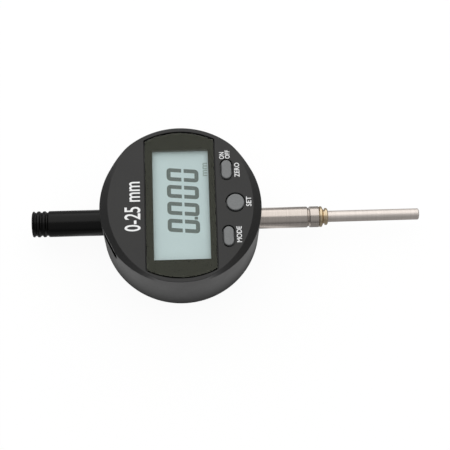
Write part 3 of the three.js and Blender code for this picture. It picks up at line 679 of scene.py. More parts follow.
# Zinc-plated screws, drawn spring wire and the nickel-plated can of the cell: greys from dull to bright
SCREW_STEEL = plain_metal("zinc_plated_steel", "#8d8d8a", "#a6a6a2", 0.32)
SPRING_STEEL = plain_metal("spring_wire", "#96958f", "#aeada6", 0.3)
CELL_NICKEL = plain_metal("nickel_plate", "#c3c2bd", "#d3d2cd", 0.25)
# Rolled aluminium sheet: cool grey with a soft cloudy shine
FRAME_ALLOY = plain_metal("aluminium_sheet", "#a7a9aa", "#bcbebf", 0.38)
# Rolled brass strip: golden
CONTACT_BRASS = plain_metal("contact_brass", "#b59a55", "#cdb26c", 0.3)
# Moulded silicone: chalky white; moulded nitrile rubber: soft black
PALE_SILICONE = rubber("pale_silicone", "#c6c6c0", "#d2d2cb", 0.55)
BLACK_RUBBER = rubber("black_rubber", "#141414", "#1c1c1b", 0.7)
SOLDER_MASK = circuit_board()


def dress(piece, material, body, slot, *nodes):
    """Gives a new piece its finish, the body that it moves with and the nodes that it stands for."""
    piece.data.materials.clear()
    piece.data.materials.append(material)
    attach(piece, body)
    if nodes:
        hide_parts(*nodes)
    return piece


# Housing

def bezel_fade(angle):
    """How far the side slopes have faded out in a direction on the +Y side, from 0 to 1."""
    share = min(max((math.sin(angle) - SLOPE_FADE) / (SLOPE_END - SLOPE_FADE), 0), 1)
    return share * share * (3 - 2 * share)


def bezel_radius(angle):
    """Radius of the flat front in a direction: the round case, cut in by a flatter arc at each side."""
    shift = SLOPE_SHIFT if math.sin(angle) > 0 else SLOPE_LOW_SHIFT
    arc_radius = CASE_RADIUS - BEZEL_WIDTH + shift
    along = shift * abs(math.cos(angle))
    radius = min(CASE_RADIUS, math.sqrt(along ** 2 + arc_radius ** 2 - shift ** 2) - along)
    return radius + (CASE_RADIUS - radius) * bezel_fade(angle)


def shoulder_height(angle):
    """Height at which the slope meets the wall; it rises where the slope fades out."""
    return CASE_DEPTH - max(BEZEL_DEPTH * (1 - bezel_fade(angle)), SHOULDER_LEAST)


def outer_case():
    shell = cylinder("case_shell", CASE_RADIUS, 0, CASE_DEPTH, sides=CASE_SIDES)
    edit(shell)
    bpy.ops.mesh.select_all(action="SELECT")
    bpy.ops.mesh.bisect(plane_co=(0, 0, SHOULDER * MM), plane_no=(0, 0, 1), threshold=1e-7)

    # The front's outline is drawn in and the shoulder raised, two matching points at a time
    half = CASE_SIDES // 2
    for i in range(half):
        angle = (i + 0.5) * 2 * math.pi / CASE_SIDES - math.pi / 2
        x, y = CASE_RADIUS * math.cos(angle), CASE_RADIUS * math.sin(angle)
        share = bezel_radius(angle) / CASE_RADIUS
        rise = shoulder_height(angle) - SHOULDER
        if share < 0.9999:
            pick(shell, "verts", lambda at: at.z > CASE_DEPTH - 0.01
                 and abs(abs(at.x) - x) < 0.05 and abs(at.y - y) < 0.05)
            bpy.ops.transform.resize(value=(share, share, 1), center_override=(0, 0, CASE_DEPTH * MM))
        if rise > 0:
            pick(shell, "verts", lambda at: abs(at.z - SHOULDER) < 0.01
                 and abs(abs(at.x) - x) < 0.05 and abs(at.y - y) < 0.05)
            bpy.ops.transform.translate(value=(0, 0, rise * MM))

    def on_shoulder(at):
        angle = math.atan2(at.y, at.x)
        return abs(at.z - shoulder_height(angle)) < 0.01 and bezel_radius(angle) < CASE_RADIUS - 0.15

    bpy.ops.mesh.select_mode(type="EDGE")
    pick(shell, "edges", lambda at: abs(at.z) < 0.01)
    bevel_picked(REAR_EDGE, 4)
    pick(shell, "edges", on_shoulder)
    bevel_picked(SHOULDER_EDGE, 4)
    pick(shell, "edges", lambda at: abs(at.z - CASE_DEPTH) < 0.001)
    bevel_picked(FACE_EDGE, 4)
    done()
    return shell


def case_shell():
    shell = outer_case()
    cut(shell, cylinder("seat", COVER_RADIUS + GAP, -OVERRUN, COVER_SEAT, sides=CASE_SIDES))
    cut(shell, cylinder("cavity", CAVITY_RADIUS, COVER_SEAT - 0.01, CEILING, sides=CASE_SIDES))
    pocket = block("pocket", (*KEY_POCKET_LOW, CEILING - OVERRUN), (*KEY_POCKET_HIGH, KEY_CEILING))
    combine(pocket, cylinder("round", CAVITY_RADIUS, 0, CASE_DEPTH, sides=CASE_SIDES), "INTERSECT")
    cut(shell, pocket)

    # Bosses round the spindle line and for the screws
    for side in (-1, 1):
        ends = sorted((side * (CAVITY_RADIUS - BOSS_LENGTH), side * (CAVITY_RADIUS + CASE_WALL / 2)))
        fuse(shell, rod("boss", BOSS_RADIUS, *ends))
    for x, y in COVER_SCREWS:
        fuse(shell, cylinder("boss", COVER_BOSS_RADIUS, COVER_SEAT, CEILING + OVERRUN, x, y, HOLE_SIDES))
    for x, y in BOARD_SCREWS:
        fuse(shell, cylinder("boss", BOARD_BOSS_RADIUS, BOARD_BOSS_LOW, KEY_CEILING + OVERRUN / 2,
                             x, y, HOLE_SIDES))

    # Window recess, display opening and key holes
    cut(shell, window_bar("recess", LENS_HALF_WIDTH + LENS_GROOVE, LENS_RADIUS + LENS_GROOVE,
                          LEDGE, CASE_DEPTH + OVERRUN))
    cut(shell, block(
        "opening",
        (DISPLAY_X - DISPLAY_HALF_WIDTH, DISPLAY_Y - DISPLAY_HALF_LENGTH, CEILING - OVERRUN),
        (DISPLAY_X + DISPLAY_HALF_WIDTH, DISPLAY_Y + DISPLAY_HALF_LENGTH, LEDGE + OVERRUN),
    ))
    for side in (-1, 1):
        cut(shell, oval("hole", OVAL_KEY_X, side * OVAL_KEY_Y, OVAL_HALF_WIDTH + KEY_GAP,
                        OVAL_HALF_LENGTH + KEY_GAP, KEY_CEILING - OVERRUN, CASE_DEPTH + OVERRUN))
    cut(shell, cylinder("hole", ROUND_KEY_RADIUS + KEY_GAP, KEY_CEILING - OVERRUN,
                        CASE_DEPTH + OVERRUN, ROUND_KEY_X))

    # Holes for the stem, the upper bush, the cap's seat and the screws
    cut(shell, rod("hole", STEM_RADIUS + GAP, 0, CASE_RADIUS + OVERRUN))
    cut(shell, rod("hole", UPPER_BUSH_RADIUS + GAP, -CASE_RADIUS - OVERRUN, 0))
    cut(shell, rod("hole", CAP_RADIUS + GAP, -CASE_RADIUS - OVERRUN, -CASE_RADIUS + CAP_SEAT))
    for x, y in COVER_SCREWS:
        cut(shell, cylinder("hole", SHANK_RADIUS + GAP, 0, COVER_HOLE_END, x, y, HOLE_SIDES))
    for x, y in BOARD_SCREWS:
        cut(shell, cylinder("hole", SHANK_RADIUS + GAP, BOARD_HOLE_LOW, BOARD_HOLE_HIGH, x, y, HOLE_SIDES))

    # Flat on the wall for the data port, the opening through it, the seat below the opening, deeper
    # towards one end, and the notch for a fingernail
    far = CASE_RADIUS + OVERRUN
    flat = block("flat", (PORT_FACE, -CASE_RADIUS, PORT_FLAT_LOW), (far, CASE_RADIUS, CASE_DEPTH + OVERRUN))
    edit(flat)
    pick(flat, "verts", lambda at: at.x > PORT_FACE + 1 and at.z < PORT_LOW)
    bpy.ops.transform.translate(value=(0, 0, -PORT_FLAT_RUN * MM))
    done()
    opening = block("opening", (CAVITY_RADIUS - OVERRUN, -PORT_HALF_WIDTH, PORT_LOW),
                    (far, PORT_HALF_WIDTH, PORT_HIGH))
    half = PORT_HALF_WIDTH + PORT_SEAT_MARGIN
    seat = block("seat", (PORT_FACE - PORT_SEAT_DEPTH, -half, PORT_LOW - PORT_SEAT),
                 (far, half, PORT_HIGH + PORT_RIM))
    edit(seat)
    for side in (-1, 1):
        pick(seat, "verts", lambda at: at.x < PORT_FACE and side * at.y > 0)
        bpy.ops.transform.translate(value=(-side * PORT_SEAT_LEAN * MM, 0, 0))
    done()
    middle = (PORT_LOW + PORT_HIGH) / 2
    notch = rod("notch", NOTCH_HALF_WIDTH, NOTCH_FLOOR, far, NOTCH_Y, middle, HOLE_SIDES)
    edit(notch)
    for side in (-1, 1):
        pick(notch, "verts", lambda at: side * (at.z - middle) > 0)
        reach = NOTCH_HALF_HEIGHT - NOTCH_HALF_WIDTH
        bpy.ops.transform.translate(value=(0, 0, side * reach * MM))
    done()
    for cutter in (flat, opening, seat, notch):
        cut(shell, rotated(cutter, PORT_TURN))

    # The openings' edges in the flat front are broken
    edit(shell, "EDGE")

    def on_opening(at):
        if abs(at.z - CASE_DEPTH) > 0.001:
            return False
        on_window = abs(abs(at.x) - LENS_HALF_WIDTH - LENS_GROOVE) < 0.01 and abs(at.y) < 25
        on_ends = abs(math.hypot(at.x, at.y) - LENS_RADIUS - LENS_GROOVE) < 0.03 and abs(at.x) < 13.3
        near_round = abs(math.hypot(at.x - ROUND_KEY_X, at.y) - ROUND_KEY_RADIUS - KEY_GAP) < 0.02
        along = max(abs(abs(at.y) - OVAL_KEY_Y) - OVAL_HALF_LENGTH + OVAL_HALF_WIDTH, 0)
        near_oval = abs(math.hypot(at.x - OVAL_KEY_X, along) - OVAL_HALF_WIDTH - KEY_GAP) < 0.02
        return on_window or on_ends or near_round or near_oval

    pick(shell, "edges", on_opening)
    bevel_picked(OPENING_EDGE)

    # The flat's upright ends stay crisp
    turn = Matrix.Rotation(-PORT_TURN, 3, "Z")
    pick(shell, "edges", lambda at: abs((turn @ at).x - PORT_FACE) < 0.01 and abs((turn @ at).y) > 5)
    bpy.ops.mesh.mark_sharp()
    done()
    smooth(shell)
    dress(shell, CASE_BLACK, "case", "case_black", "front_case")

    # The port's recesses are lined with painted shade: their faces take a near black that gives back almost
    # no light
    shell.data.materials.append(PAINTED_PORT_SHADE)
    for face in shell.data.polygons:
        at = turn @ face.center / MM
        level = PORT_LOW - PORT_SEAT - 0.1 < at.z < PORT_HIGH + 1.2
        if 27.8 < at.x < PORT_FACE - 0.01 and math.hypot(at.x, at.y) < CASE_RADIUS - 0.12 and level:
            face.material_index = 1
    return shell


def window_plate():
    plate = window_bar("window_plate", LENS_HALF_WIDTH, LENS_RADIUS, LENS_LOW, LENS_HIGH)
    edit(plate, "EDGE")
    pick(plate, "edges", lambda at: abs(at.z - LENS_HIGH) < 0.001)
    bevel_picked(LENS_EDGE)
    done()
    smooth(plate)
    return dress(plate, ACRYLIC, "case", "window_clear", "window_lens")


def window_mask():
    """Black print on the window's back, left clear over the display."""
    mask = window_bar("window_mask", LENS_HALF_WIDTH, LENS_RADIUS, MASK_LOW, MASK_HIGH)
    cut(mask, block(
        "clear",
        (DISPLAY_X - DISPLAY_HALF_WIDTH, DISPLAY_Y - DISPLAY_HALF_LENGTH, MASK_LOW - OVERRUN),
        (DISPLAY_X + DISPLAY_HALF_WIDTH, DISPLAY_Y + DISPLAY_HALF_LENGTH, MASK_HIGH + OVERRUN),
    ))
    return dress(mask, MASK_INK, "case", "case_black")


# Display

def display_glass():
    half = DISPLAY_HALF_WIDTH + GLASS_MARGIN
    half_length = DISPLAY_HALF_LENGTH + GLASS_END_MARGIN
    glass = block("display_glass", (DISPLAY_X - half, DISPLAY_Y - half_length, GLASS_LOW),
                  (DISPLAY_X + half, DISPLAY_Y + half_length, GLASS_HIGH))
    round_edges(glass, GLASS_EDGE, 2)
    smooth(glass)
    return dress(glass, DISPLAY_FILM, "case", "display_glass", "lcd_panel")


def printed(name, corners, rounded, radius):
    """Thin patch on the display glass with given corners, some of them rounded."""
    patch = drawn(name, [(x, y, GLASS_HIGH) for x, y in [*corners, corners[0]]])
    bpy.ops.mesh.select_all(action="SELECT")
    bpy.ops.mesh.remove_doubles(threshold=1e-6)
    bpy.ops.mesh.edge_face_add()
    if rounded:
        pick(patch, "verts", lambda at: any(math.hypot(at.x - x, at.y - y) < 0.01 for x, y in rounded))
        bpy.ops.mesh.bevel(offset=radius * MM, segments=4, affect="VERTICES")
    bpy.ops.mesh.select_all(action="SELECT")
    bpy.ops.mesh.extrude_region_move(TRANSFORM_OT_translate={"value": (0, 0, INK_THICKNESS * MM)})
    bpy.ops.mesh.select_all(action="SELECT")
    bpy.ops.mesh.normals_make_consistent(inside=False)
    done()
    return patch


def figure_zero():
    """One nought: a bar with two legs at the top, and the same turned about at the foot."""
    outer = FIGURE_WIDTH / 2
    inner = outer - FIGURE_STROKE
    leg_end = FIGURE_MIDDLE - FIGURE_GAP / 2

    def slanted(x, y):
        return x, y - FIGURE_SLANT * (x - FIGURE_MIDDLE)

    top = printed("figure_half", [slanted(x, y) for x, y in (
        (FIGURE_TOP, -outer), (FIGURE_TOP, outer), (leg_end, outer), (leg_end, inner),
        (FIGURE_TOP + FIGURE_STROKE, inner), (FIGURE_TOP + FIGURE_STROKE, -inner),
        (leg_end, -inner), (leg_end, -outer),
    )], [slanted(FIGURE_TOP, -outer), slanted(FIGURE_TOP, outer)], FIGURE_ROUNDING)
    foot = rotated(copied(top, "figure_half_2", (-2 * FIGURE_MIDDLE, 0, 0)), math.pi)
    return joined("figure_zero", [top, foot])


def display_figures():
    first = figure_zero()
    figures = [copied(first, "figure", (0, y, 0)) for y in FIGURE_MIDDLES]
    bpy.data.objects.remove(first)
    (low_x, low_y), (high_x, high_y) = POINT_LOW, POINT_HIGH
    corners = [(low_x, low_y), (low_x, high_y), (high_x, high_y), (high_x, low_y)]
    point = printed("point", corners, corners, POINT_ROUNDING)
    whole = joined("display_figures", figures + [point])
    return dress(whole, SEGMENT_INK, "case", "display_glass")


def lettering(name, words, x, y, size, length, low=CASE_DEPTH, bold=0.03,
              material=WHITE_INK, slot="case_black"):
    """Words read from -Y to +Y, centred on a place, drawn to a height and a length."""
    deselect()
    bpy.ops.object.text_add()
    text = bpy.context.object
    text.data.body = words
    text.data.align_x = "CENTER"
    text.data.align_y = "CENTER"
    text.data.size = size * MM / CAPITAL_SHARE
    text.data.offset = bold * MM
    text.data.extrude = INK_THICKNESS / 2 * MM
    text.data.resolution_u = 4
    bpy.ops.object.convert(target="MESH")
    text = bpy.context.object
    text.name = name
    text.data.name = name
    text.scale = (length * MM / text.dimensions.x, size * MM / text.dimensions.y, 1)
    text.rotation_euler.z = math.pi / 2
    text.location = (x * MM, y * MM, (low + INK_THICKNESS / 2) * MM)
    bpy.ops.object.transform_apply(location=True, rotation=True, scale=True)
    edit(text)
    tidy_mesh()
    done()
    centre = sum((Vector(corner) for corner in text.bound_box), Vector()) / 8
    moved(text, (x - centre.x / MM, y - centre.y / MM, 0))
    return dress(text, material, "case", slot)


# Push buttons

def finish_key(piece, x, y, flange, body, old):
    """Gives a key its rounded top, its flange behind the bezel and the plunger to the mat."""
    edit(piece, "EDGE")
    pick(piece, "edges", lambda at: abs(at.z - KEY_TOP) < 0.001)
    bevel_picked(KEY_EDGE, 3)
    done()
    plunger = cylinder("plunger", PLUNGER_RADIUS, PLUNGER_LOW, FLANGE_LOW + 0.6, x, y, HOLE_SIDES)
    fuse(piece, flange, plunger)
    smooth(piece)
    return dress(piece, KEY_GREY, body, "key_grey", old)


def oval_button(name, side, body, old):
    y = side * OVAL_KEY_Y
    key = oval(name, OVAL_KEY_X, y, OVAL_HALF_WIDTH, OVAL_HALF_LENGTH, FLANGE_LOW + 0.3, KEY_TOP)
    flange = oval("flange", OVAL_KEY_X, y, OVAL_HALF_WIDTH + KEY_FLANGE, OVAL_HALF_LENGTH + KEY_FLANGE,
                  FLANGE_LOW, FLANGE_HIGH)
    return finish_key(key, OVAL_KEY_X, y, flange, body, old)


def round_button():
    key = cylinder("set_button", ROUND_KEY_RADIUS, FLANGE_LOW + 0.3, KEY_TOP, ROUND_KEY_X)
    flange = cylinder("flange", ROUND_KEY_RADIUS + KEY_FLANGE, FLANGE_LOW, FLANGE_HIGH, ROUND_KEY_X)
    return finish_key(key, ROUND_KEY_X, 0, flange, "set_key", "button_set")


# Back cover, screws and battery door

def door_tab(name, angle, margin, low, high):
    """Sector of a disc: a full one cut by two planes through the door's axis."""
    reach = DOOR_TAB_REACH + margin
    spread = DOOR_TAB_ANGLE / 2 + margin / DOOR_PLUG_RADIUS
    tab = cylinder(name, reach, low, high)
    edit(tab)
    for turn, sign in ((spread, 1), (-spread, -1)):
        bpy.ops.mesh.select_all(action="SELECT")
        facing = (-sign * math.sin(turn), sign * math.cos(turn), 0)
        bpy.ops.mesh.bisect(plane_co=(0, 0, 0), plane_no=facing,
                            use_fill=True, clear_outer=True, threshold=1e-7)
    done()
    return moved(rotated(tab, angle), (0, DOOR_Y, 0))


def rear_cover():
    cover = cylinder("rear_cover", COVER_RADIUS, 0, COVER_TOP, sides=CASE_SIDES)
    edit(cover, "EDGE")
    pick(cover, "edges", lambda at: abs(at.z) < 0.001)
    bevel_picked(COVER_EDGE, 3)
    done()
    for x, y in COVER_SCREWS:
        cut(cover, cylinder("hole", HEAD_RADIUS + GAP, -OVERRUN, HEAD_HIGH + GAP, x, y, HOLE_SIDES))
        cut(cover, cylinder("hole", SHANK_RADIUS + GAP, -OVERRUN, COVER_TOP + OVERRUN, x, y, HOLE_SIDES))
    ledge = COVER_TOP - DOOR_LEDGE
    cut(cover, cylinder("hole", DOOR_RADIUS + GAP, -OVERRUN, ledge, 0, DOOR_Y, ROD_SIDES))
    cut(cover, cylinder("hole", DOOR_PLUG_RADIUS + GAP, -OVERRUN, COVER_TOP + OVERRUN,
                        0, DOOR_Y, ROD_SIDES))
    for i in range(2):
        cut(cover, door_tab("notch", DOOR_TURN + i * math.pi, GAP, ledge - OVERRUN, COVER_TOP + OVERRUN))
    smooth(cover)
    return dress(cover, COVER_BLACK, "case", "cover_black", "back_cover")


def cover_screws():
    x, y = COVER_SCREWS[0]
    outline = [
        (0, HEAD_LOW), (HEAD_RADIUS - 0.25, HEAD_LOW), (HEAD_RADIUS, HEAD_LOW + 0.25),
        (HEAD_RADIUS, HEAD_HIGH), (SHANK_RADIUS, HEAD_HIGH), (SHANK_RADIUS, SHANK_END - 0.4),
        (SHANK_RADIUS - 0.3, SHANK_END), (0, SHANK_END),
    ]
    points = [(x + radius, y, z) for radius, z in outline]
    first = spun("cover_screw", points, (x, y, 0), (0, 0, 1), HOLE_SIDES)
    lengths = (DRIVE_HALF_LENGTH, DRIVE_HALF_WIDTH)
    for half_x, half_y in (lengths, lengths[::-1]):
        cut(first, block("recess", (x - half_x, y - half_y, HEAD_LOW - OVERRUN),
                         (x + half_x, y + half_y, HEAD_LOW + DRIVE_DEPTH)))
    smooth(first)
    screws = [first]
    for place in COVER_SCREWS[1:]:
        screws.append(copied(first, "cover_screw", (place[0] - x, place[1] - y, 0)))
    for place, screw in zip(COVER_SCREWS, screws):
        number = screw_number(place)
        screw.name = f"cover_screw_{number}"
        dress(screw, SCREW_STEEL, "case", "screw_steel", f"back_screw_{number}")
    return screws


def screw_number(place):
    """The CAD node of the screw whose head lies over a place."""
    for number in range(1, 5):
        low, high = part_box(f"back_screw_{number}")
        if (low.x < place[0] * MM < high.x) and (low.y < place[1] * MM < high.y):
            return number


def battery_lid():
    lid = cylinder("battery_lid", DOOR_RADIUS, DOOR_LOW, DOOR_FLANGE, 0, DOOR_Y, ROD_SIDES)
    round_edges(lid, 0.15, 2)
    fuse(lid, cylinder("plug", DOOR_PLUG_RADIUS, DOOR_LOW + 0.2, DOOR_TOP, 0, DOOR_Y, ROD_SIDES))
    for i in range(2):
        fuse(lid, door_tab("tab", i * math.pi, 0, COVER_SEAT, DOOR_TOP))
    slot = oval("slot", 0, 0, COIN_SLOT_HALF_WIDTH, COIN_SLOT_HALF_LENGTH, -OVERRUN,
                DOOR_LOW + COIN_SLOT_DEPTH, HOLE_SIDES)
    cut(lid, moved(rotated(slot, math.pi / 2), (0, DOOR_Y, 0)))
    smooth(lid)
    return dress(lid, COVER_BLACK, "door", "cover_black", "battery_door")


def port_plate():
    half = PORT_HALF_WIDTH - GAP
    plate = block("port_plate", (PORT_COVER_BACK, -half, PORT_LOW + GAP),
                  (PORT_COVER_FACE, half, PORT_HIGH - GAP))
    round_edges(plate, PORT_COVER_EDGE, 3)
    rotated(plate, PORT_TURN)
    smooth(plate)
    return dress(plate, PORT_BLACK, "port_lid", "port_black", "port_cover")


# Pieces turned round the spindle line

def turned(name, outline, rounding, material, body, slot, old):
    """A piece on the spindle line, from an outline of (radius, place along X)."""
    points = [(along, radius, SPINDLE_HEIGHT) for radius, along in outline]
    piece = spun(name, points, (0, 0, SPINDLE_HEIGHT), (1, 0, 0))
    round_edges(piece, rounding)
    smooth(piece)
    return dress(piece, material, body, slot, old)


def stem_tube():
    return turned("stem_tube", [
        (STEM_BORE, STEM_START), (STEM_RADIUS, STEM_START), (STEM_RADIUS, GROOVE_START),
        (STEM_RADIUS - GROOVE_DEPTH, GROOVE_START + GROOVE_DEPTH),
        (STEM_RADIUS - GROOVE_DEPTH, GROOVE_END - GROOVE_DEPTH),
        (STEM_RADIUS, GROOVE_END), (STEM_RADIUS, STEM_END - STEM_CHAMFER),
        (STEM_RADIUS - STEM_CHAMFER, STEM_END), (STEM_BORE, STEM_END), (STEM_BORE, STEM_START),
    ], 0.06, STEM_STEEL, "case", "stem_steel", "stem")


def stem_bush():
    outer = STEM_BORE - GAP
    return turned("stem_bush", [
        (BUSH_BORE, BUSH_REAR), (outer, BUSH_REAR), (outer, BUSH_STEPS[0][1]), *BUSH_STEPS,
        (BUSH_BORE, BUSH_STEPS[-1][1]), (BUSH_BORE, BUSH_REAR),
    ], 0.06, BUSH_BRASS, "case", "bush_brass", "lower_bush")


def cap_bush():
    return turned("cap_bush", [
        (BUSH_BORE, UPPER_BUSH_START), (UPPER_BUSH_RADIUS - UPPER_BUSH_CHAMFER, UPPER_BUSH_START),
        (UPPER_BUSH_RADIUS, UPPER_BUSH_START + UPPER_BUSH_CHAMFER),
        (UPPER_BUSH_RADIUS, UPPER_BUSH_END), (BUSH_BORE, UPPER_BUSH_END), (BUSH_BORE, UPPER_BUSH_START),
    ], 0.08, BUSH_BRASS, "case", "bush_brass", "upper_bush")


def spindle_rod():
    narrow = SPINDLE_RADIUS - SPINDLE_CHAMFER
    return turned("spindle_rod", [
        (0, SPINDLE_START), (narrow, SPINDLE_START), (SPINDLE_RADIUS, SPINDLE_START + SPINDLE_CHAMFER),
        (SPINDLE_RADIUS, SPINDLE_END - SPINDLE_CHAMFER), (narrow, SPINDLE_END),
        (TIP_HOLE_RADIUS, SPINDLE_END), (TIP_HOLE_RADIUS, SPINDLE_END - TIP_HOLE_DEPTH),
        (0, SPINDLE_END - TIP_HOLE_DEPTH),
    ], 0.08, SPINDLE_STEEL, "measuring_spindle", "ground_steel", "spindle")


def cap_shell():
    taper = (CAP_RADIUS - CAP_TIP_RADIUS) / (CAP_START - CAP_END)

    def radius_at(x):
        return CAP_RADIUS - taper * (CAP_START - x)

    crown = CAP_END + CAP_CROWN
    outline = [(CAP_BORE, CAP_START), (CAP_BORE, crown), (0, crown), (0, CAP_END),
               (CAP_TIP_RADIUS - CAP_TIP_ROUNDING, CAP_END), (CAP_TIP_RADIUS - 0.15, CAP_END + 0.15),
               (CAP_TIP_RADIUS, CAP_END + CAP_TIP_ROUNDING)]
    for start in GRIP_STARTS:
        end = start + GRIP_WIDTH
        outline += [(radius_at(start), start), (radius_at(start) - GRIP_DEPTH, start + GRIP_DEPTH),
                    (radius_at(end) - GRIP_DEPTH, end - GRIP_DEPTH), (radius_at(end), end)]
    outline += [(CAP_RADIUS, CAP_START), (CAP_BORE, CAP_START)]
    return turned("cap_shell", outline, 0.12, CAP_BLACK, "cap", "cap_black", "dust_cap")


def spring_coil():
    """Wire section wound along X by a screw, its ends closed."""
    run = SPRING_END - SPRING_START - SPRING_WIRE
    deselect()
    bpy.ops.mesh.primitive_circle_add(
        vertices=SPRING_WIRE_SIDES, radius=SPRING_WIRE / 2 * MM, fill_type="NOTHING",
        location=((SPRING_START + SPRING_WIRE / 2) * MM, SPRING_RADIUS * MM, 0))
    coil = fresh("spring_coil")
    apply_modifier(coil, "SCREW", axis="X", angle=2 * math.pi, iterations=SPRING_TURNS,
                   steps=SPRING_STEPS, render_steps=SPRING_STEPS,
                   screw_offset=run / SPRING_TURNS * MM, use_merge_vertices=False)
    edit(coil, "EDGE")
    bpy.ops.mesh.select_non_manifold()
    bpy.ops.mesh.edge_face_add()
    tidy_mesh()
    bpy.ops.transform.translate(value=(0, 0, SPINDLE_HEIGHT * MM))
    done()
    smooth(coil)
    dress(coil, SPRING_STEEL, "case", "spring_steel", "return_spring")
    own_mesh(coil)
    return coil


case_shell()
window_plate()
window_mask()
display_glass()
display_figures()
oval_button("on_zero_button", 1, "on_zero_key", "button_on_zero")
oval_button("mode_button", -1, "mode_key", "button_mode")
round_button()
rear_cover()
cover_screws()
battery_lid()
port_plate()
stem_tube()
stem_bush()
cap_bush()
spindle_rod()
cap_shell()
spring_coil()

lettering("display_unit", "mm", 9.4, 14.55, 1.7, 5.3, GLASS_HIGH, 0.05, FAINT_INK, "display_glass")
lettering("label_on", "ON", 15.7, 18.5, 1.8, 2.7)
lettering("label_off", "OFF", 17.85, 18.9, 1.8, 3.3)
lettering("label_zero", "ZERO", 21.2, 12.7, 1.9, 5.6)
lettering("label_set", "SET", 25.1, 0.2, 1.9, 3.8)
lettering("label_mode", "MODE", 21.15, -12.4, 1.9, 6.1)
lettering("range_numbers", "0-25 mm", -17.7, -0.6, 5.9, 19.2, bold=0.08)

# Finishes of the pieces that keep their own shape
KEPT = {
    "lcd_holder": WHITE_MOULDING,
    "zebra_strip_left": PALE_SILICONE,
    "zebra_strip_right": PALE_SILICONE,
    "key_mat": PALE_SILICONE,
    "main_board": SOLDER_MASK,
    "scale_board": SOLDER_MASK,
    "pickup_plate": SOLDER_MASK,
    "controller_chip": CHIP_BLACK,
    "port_socket": CHIP_BLACK,
    "battery_door_seal": BLACK_RUBBER,
    "bumper_ring": BLACK_RUBBER,
    "battery_cell": CELL_NICKEL,
    "battery_holder": WHITE_MOULDING,
    "battery_contact_plus": CONTACT_BRASS,
    "battery_contact_minus": CONTACT_BRASS,
    "inner_frame": FRAME_ALLOY,
    "guide_rod": SPINDLE_STEEL,
    "stem_nut": SCREW_STEEL,
    "carrier": FRAME_ALLOY,
    "carrier_screw": SCREW_STEEL,
}
for name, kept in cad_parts.items():
    finish = KEPT.get(name, SCREW_STEEL)
    kept.data.materials.clear()
    kept.data.materials.append(finish)


# Camera, floor and light

def place_camera():
    level = math.cos(CAMERA_TILT)
    back = Vector((-math.sin(CAMERA_SWING) * level, -math.sin(CAMERA_TILT), math.cos(CAMERA_SWING) * level))
    back.normalize()
    right = Vector((0, 1, 0)).cross(back).normalized()
    up = back.cross(right)
    across = math.cos(CAMERA_ROLL) * right - math.sin(CAMERA_ROLL) * up
    upward = math.sin(CAMERA_ROLL) * right + math.cos(CAMERA_ROLL) * up
    place = Vector(CAMERA_TARGET) * MM + CAMERA_DISTANCE * MM * back
    bpy.ops.object.camera_add()
    camera = bpy.context.object
    camera.name = "camera"
    camera.matrix_world = Matrix((
        (across.x, upward.x, back.x, place.x),
        (across.y, upward.y, back.y, place.y),
        (across.z, upward.z, back.z, place.z),
        (0, 0, 0, 1),
    ))
    camera.data.lens = CAMERA_LENS
    camera.data.sensor_width = 36
    camera.data.clip_start = 0.01
    camera.data.clip_end = 20
    bpy.context.scene.camera = camera


def softbox():
    """Soft lamp above and behind, as bright as its face shows."""
    bpy.ops.object.light_add(type="AREA", location=LAMP_PLACE)
    lamp = bpy.context.object
    lamp.name = "softbox"
    lamp.data.shape = "RECTANGLE"
    lamp.data.size = LAMP_WIDTH
    lamp.data.size_y = LAMP_LENGTH
    lamp.data.energy = LAMP_RADIANCE * math.pi * LAMP_WIDTH * LAMP_LENGTH
    lamp.data.color = colour("#fffefc")[:3]
    lamp.rotation_euler = (-Vector(LAMP_PLACE)).to_track_quat("-Z", "Y").to_euler()


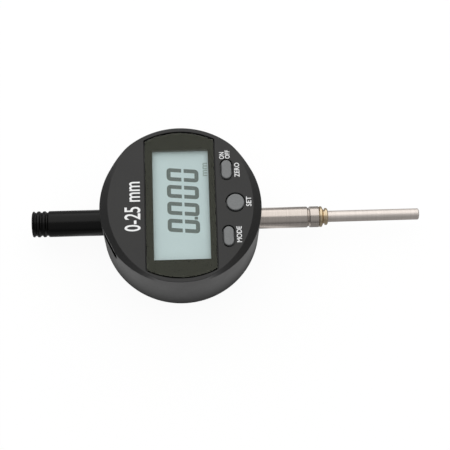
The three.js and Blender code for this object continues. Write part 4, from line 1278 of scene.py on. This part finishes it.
def pale_floor():
    """Nearly white for the camera, with a faint shadow; reflections see painted shade close round the object
    and a painted bright ring beyond it.
    """
    deselect()
    bpy.ops.mesh.primitive_plane_add(size=6, location=(0, 0, 0))
    floor = fresh("floor")
    material, tree, place = surface("pale_floor")
    rays = node(tree, "ShaderNodeLightPath")
    reflected = node(tree, "ShaderNodeMath", {
        0: rays.outputs["Is Glossy Ray"], 1: rays.outputs["Is Transmission Ray"]}, operation="MAXIMUM")
    distance = node(tree, "ShaderNodeVectorMath", {"Vector": place}, operation="LENGTH").outputs["Value"]
    share = node(tree, "ShaderNodeMapRange", {"Value": distance, "From Max": PAINTED_POOL_REACH * MM})
    # Painted shade next to the object and a painted bright ring, seen only by reflections
    painted_shade_and_pool = node(tree, "ShaderNodeValToRGB", {"Fac": share}, PAINTED_SHADE_AND_POOL_TONES)
    dim = node(tree, "ShaderNodeBsdfDiffuse", {"Color": painted_shade_and_pool})
    glow = node(tree, "ShaderNodeEmission", {"Color": painted_shade_and_pool, "Strength": 0.6})
    mirrored = node(tree, "ShaderNodeAddShader", {0: dim, 1: glow})
    plain = node(tree, "ShaderNodeBsdfDiffuse", {"Color": colour("#d8d8d6")})
    unseen = node(tree, "ShaderNodeMixShader", {0: reflected, 1: plain, 2: mirrored})
    faint = node(tree, "ShaderNodeBsdfDiffuse", {"Color": colour("#505050")})
    white = node(tree, "ShaderNodeEmission", {"Color": colour("#ffffff"), "Strength": 0.93})
    seen = node(tree, "ShaderNodeAddShader", {0: faint, 1: white})
    whole = node(tree, "ShaderNodeMixShader", {0: rays.outputs["Is Camera Ray"], 1: unseen, 2: seen})
    node(tree, "ShaderNodeOutputMaterial", {"Surface": whole})
    floor.data.materials.append(material)


def studio():
    """White for the camera; an even room for dull surfaces and one that brightens upwards for shiny ones."""
    world = bpy.data.worlds.new("studio")
    bpy.context.scene.world = world
    world.use_nodes = True
    tree = world.node_tree
    tree.nodes.clear()
    rays = node(tree, "ShaderNodeLightPath")
    reflected = node(tree, "ShaderNodeMath", {
        0: rays.outputs["Is Glossy Ray"], 1: rays.outputs["Is Transmission Ray"]}, operation="MAXIMUM")
    direction = node(tree, "ShaderNodeSeparateXYZ", {
        "Vector": node(tree, "ShaderNodeTexCoord").outputs["Generated"]})
    rising = node(tree, "ShaderNodeMapRange", {
        "Value": direction.outputs["Z"], "From Max": 0.55, "To Min": 0.1, "To Max": 0.4})
    behind = node(tree, "ShaderNodeMapRange", {
        "Value": direction.outputs["Y"], "From Min": 0.75, "To Max": 0.4})
    walls = node(tree, "ShaderNodeMath", {0: rising, 1: behind}, operation="ADD")
    room = node(tree, "ShaderNodeMix", {"Factor": reflected, "A": 0.52, "B": walls})
    seen = node(tree, "ShaderNodeMix", {"Factor": rays.outputs["Is Camera Ray"], "A": room, "B": 1})
    sky = node(tree, "ShaderNodeBackground", {"Color": colour("#ffffff"), "Strength": seen})
    node(tree, "ShaderNodeOutputWorld", {"Surface": sky})


place_camera()
pale_floor()
studio()
softbox()
bpy.context.scene.view_settings.view_transform = "Standard"
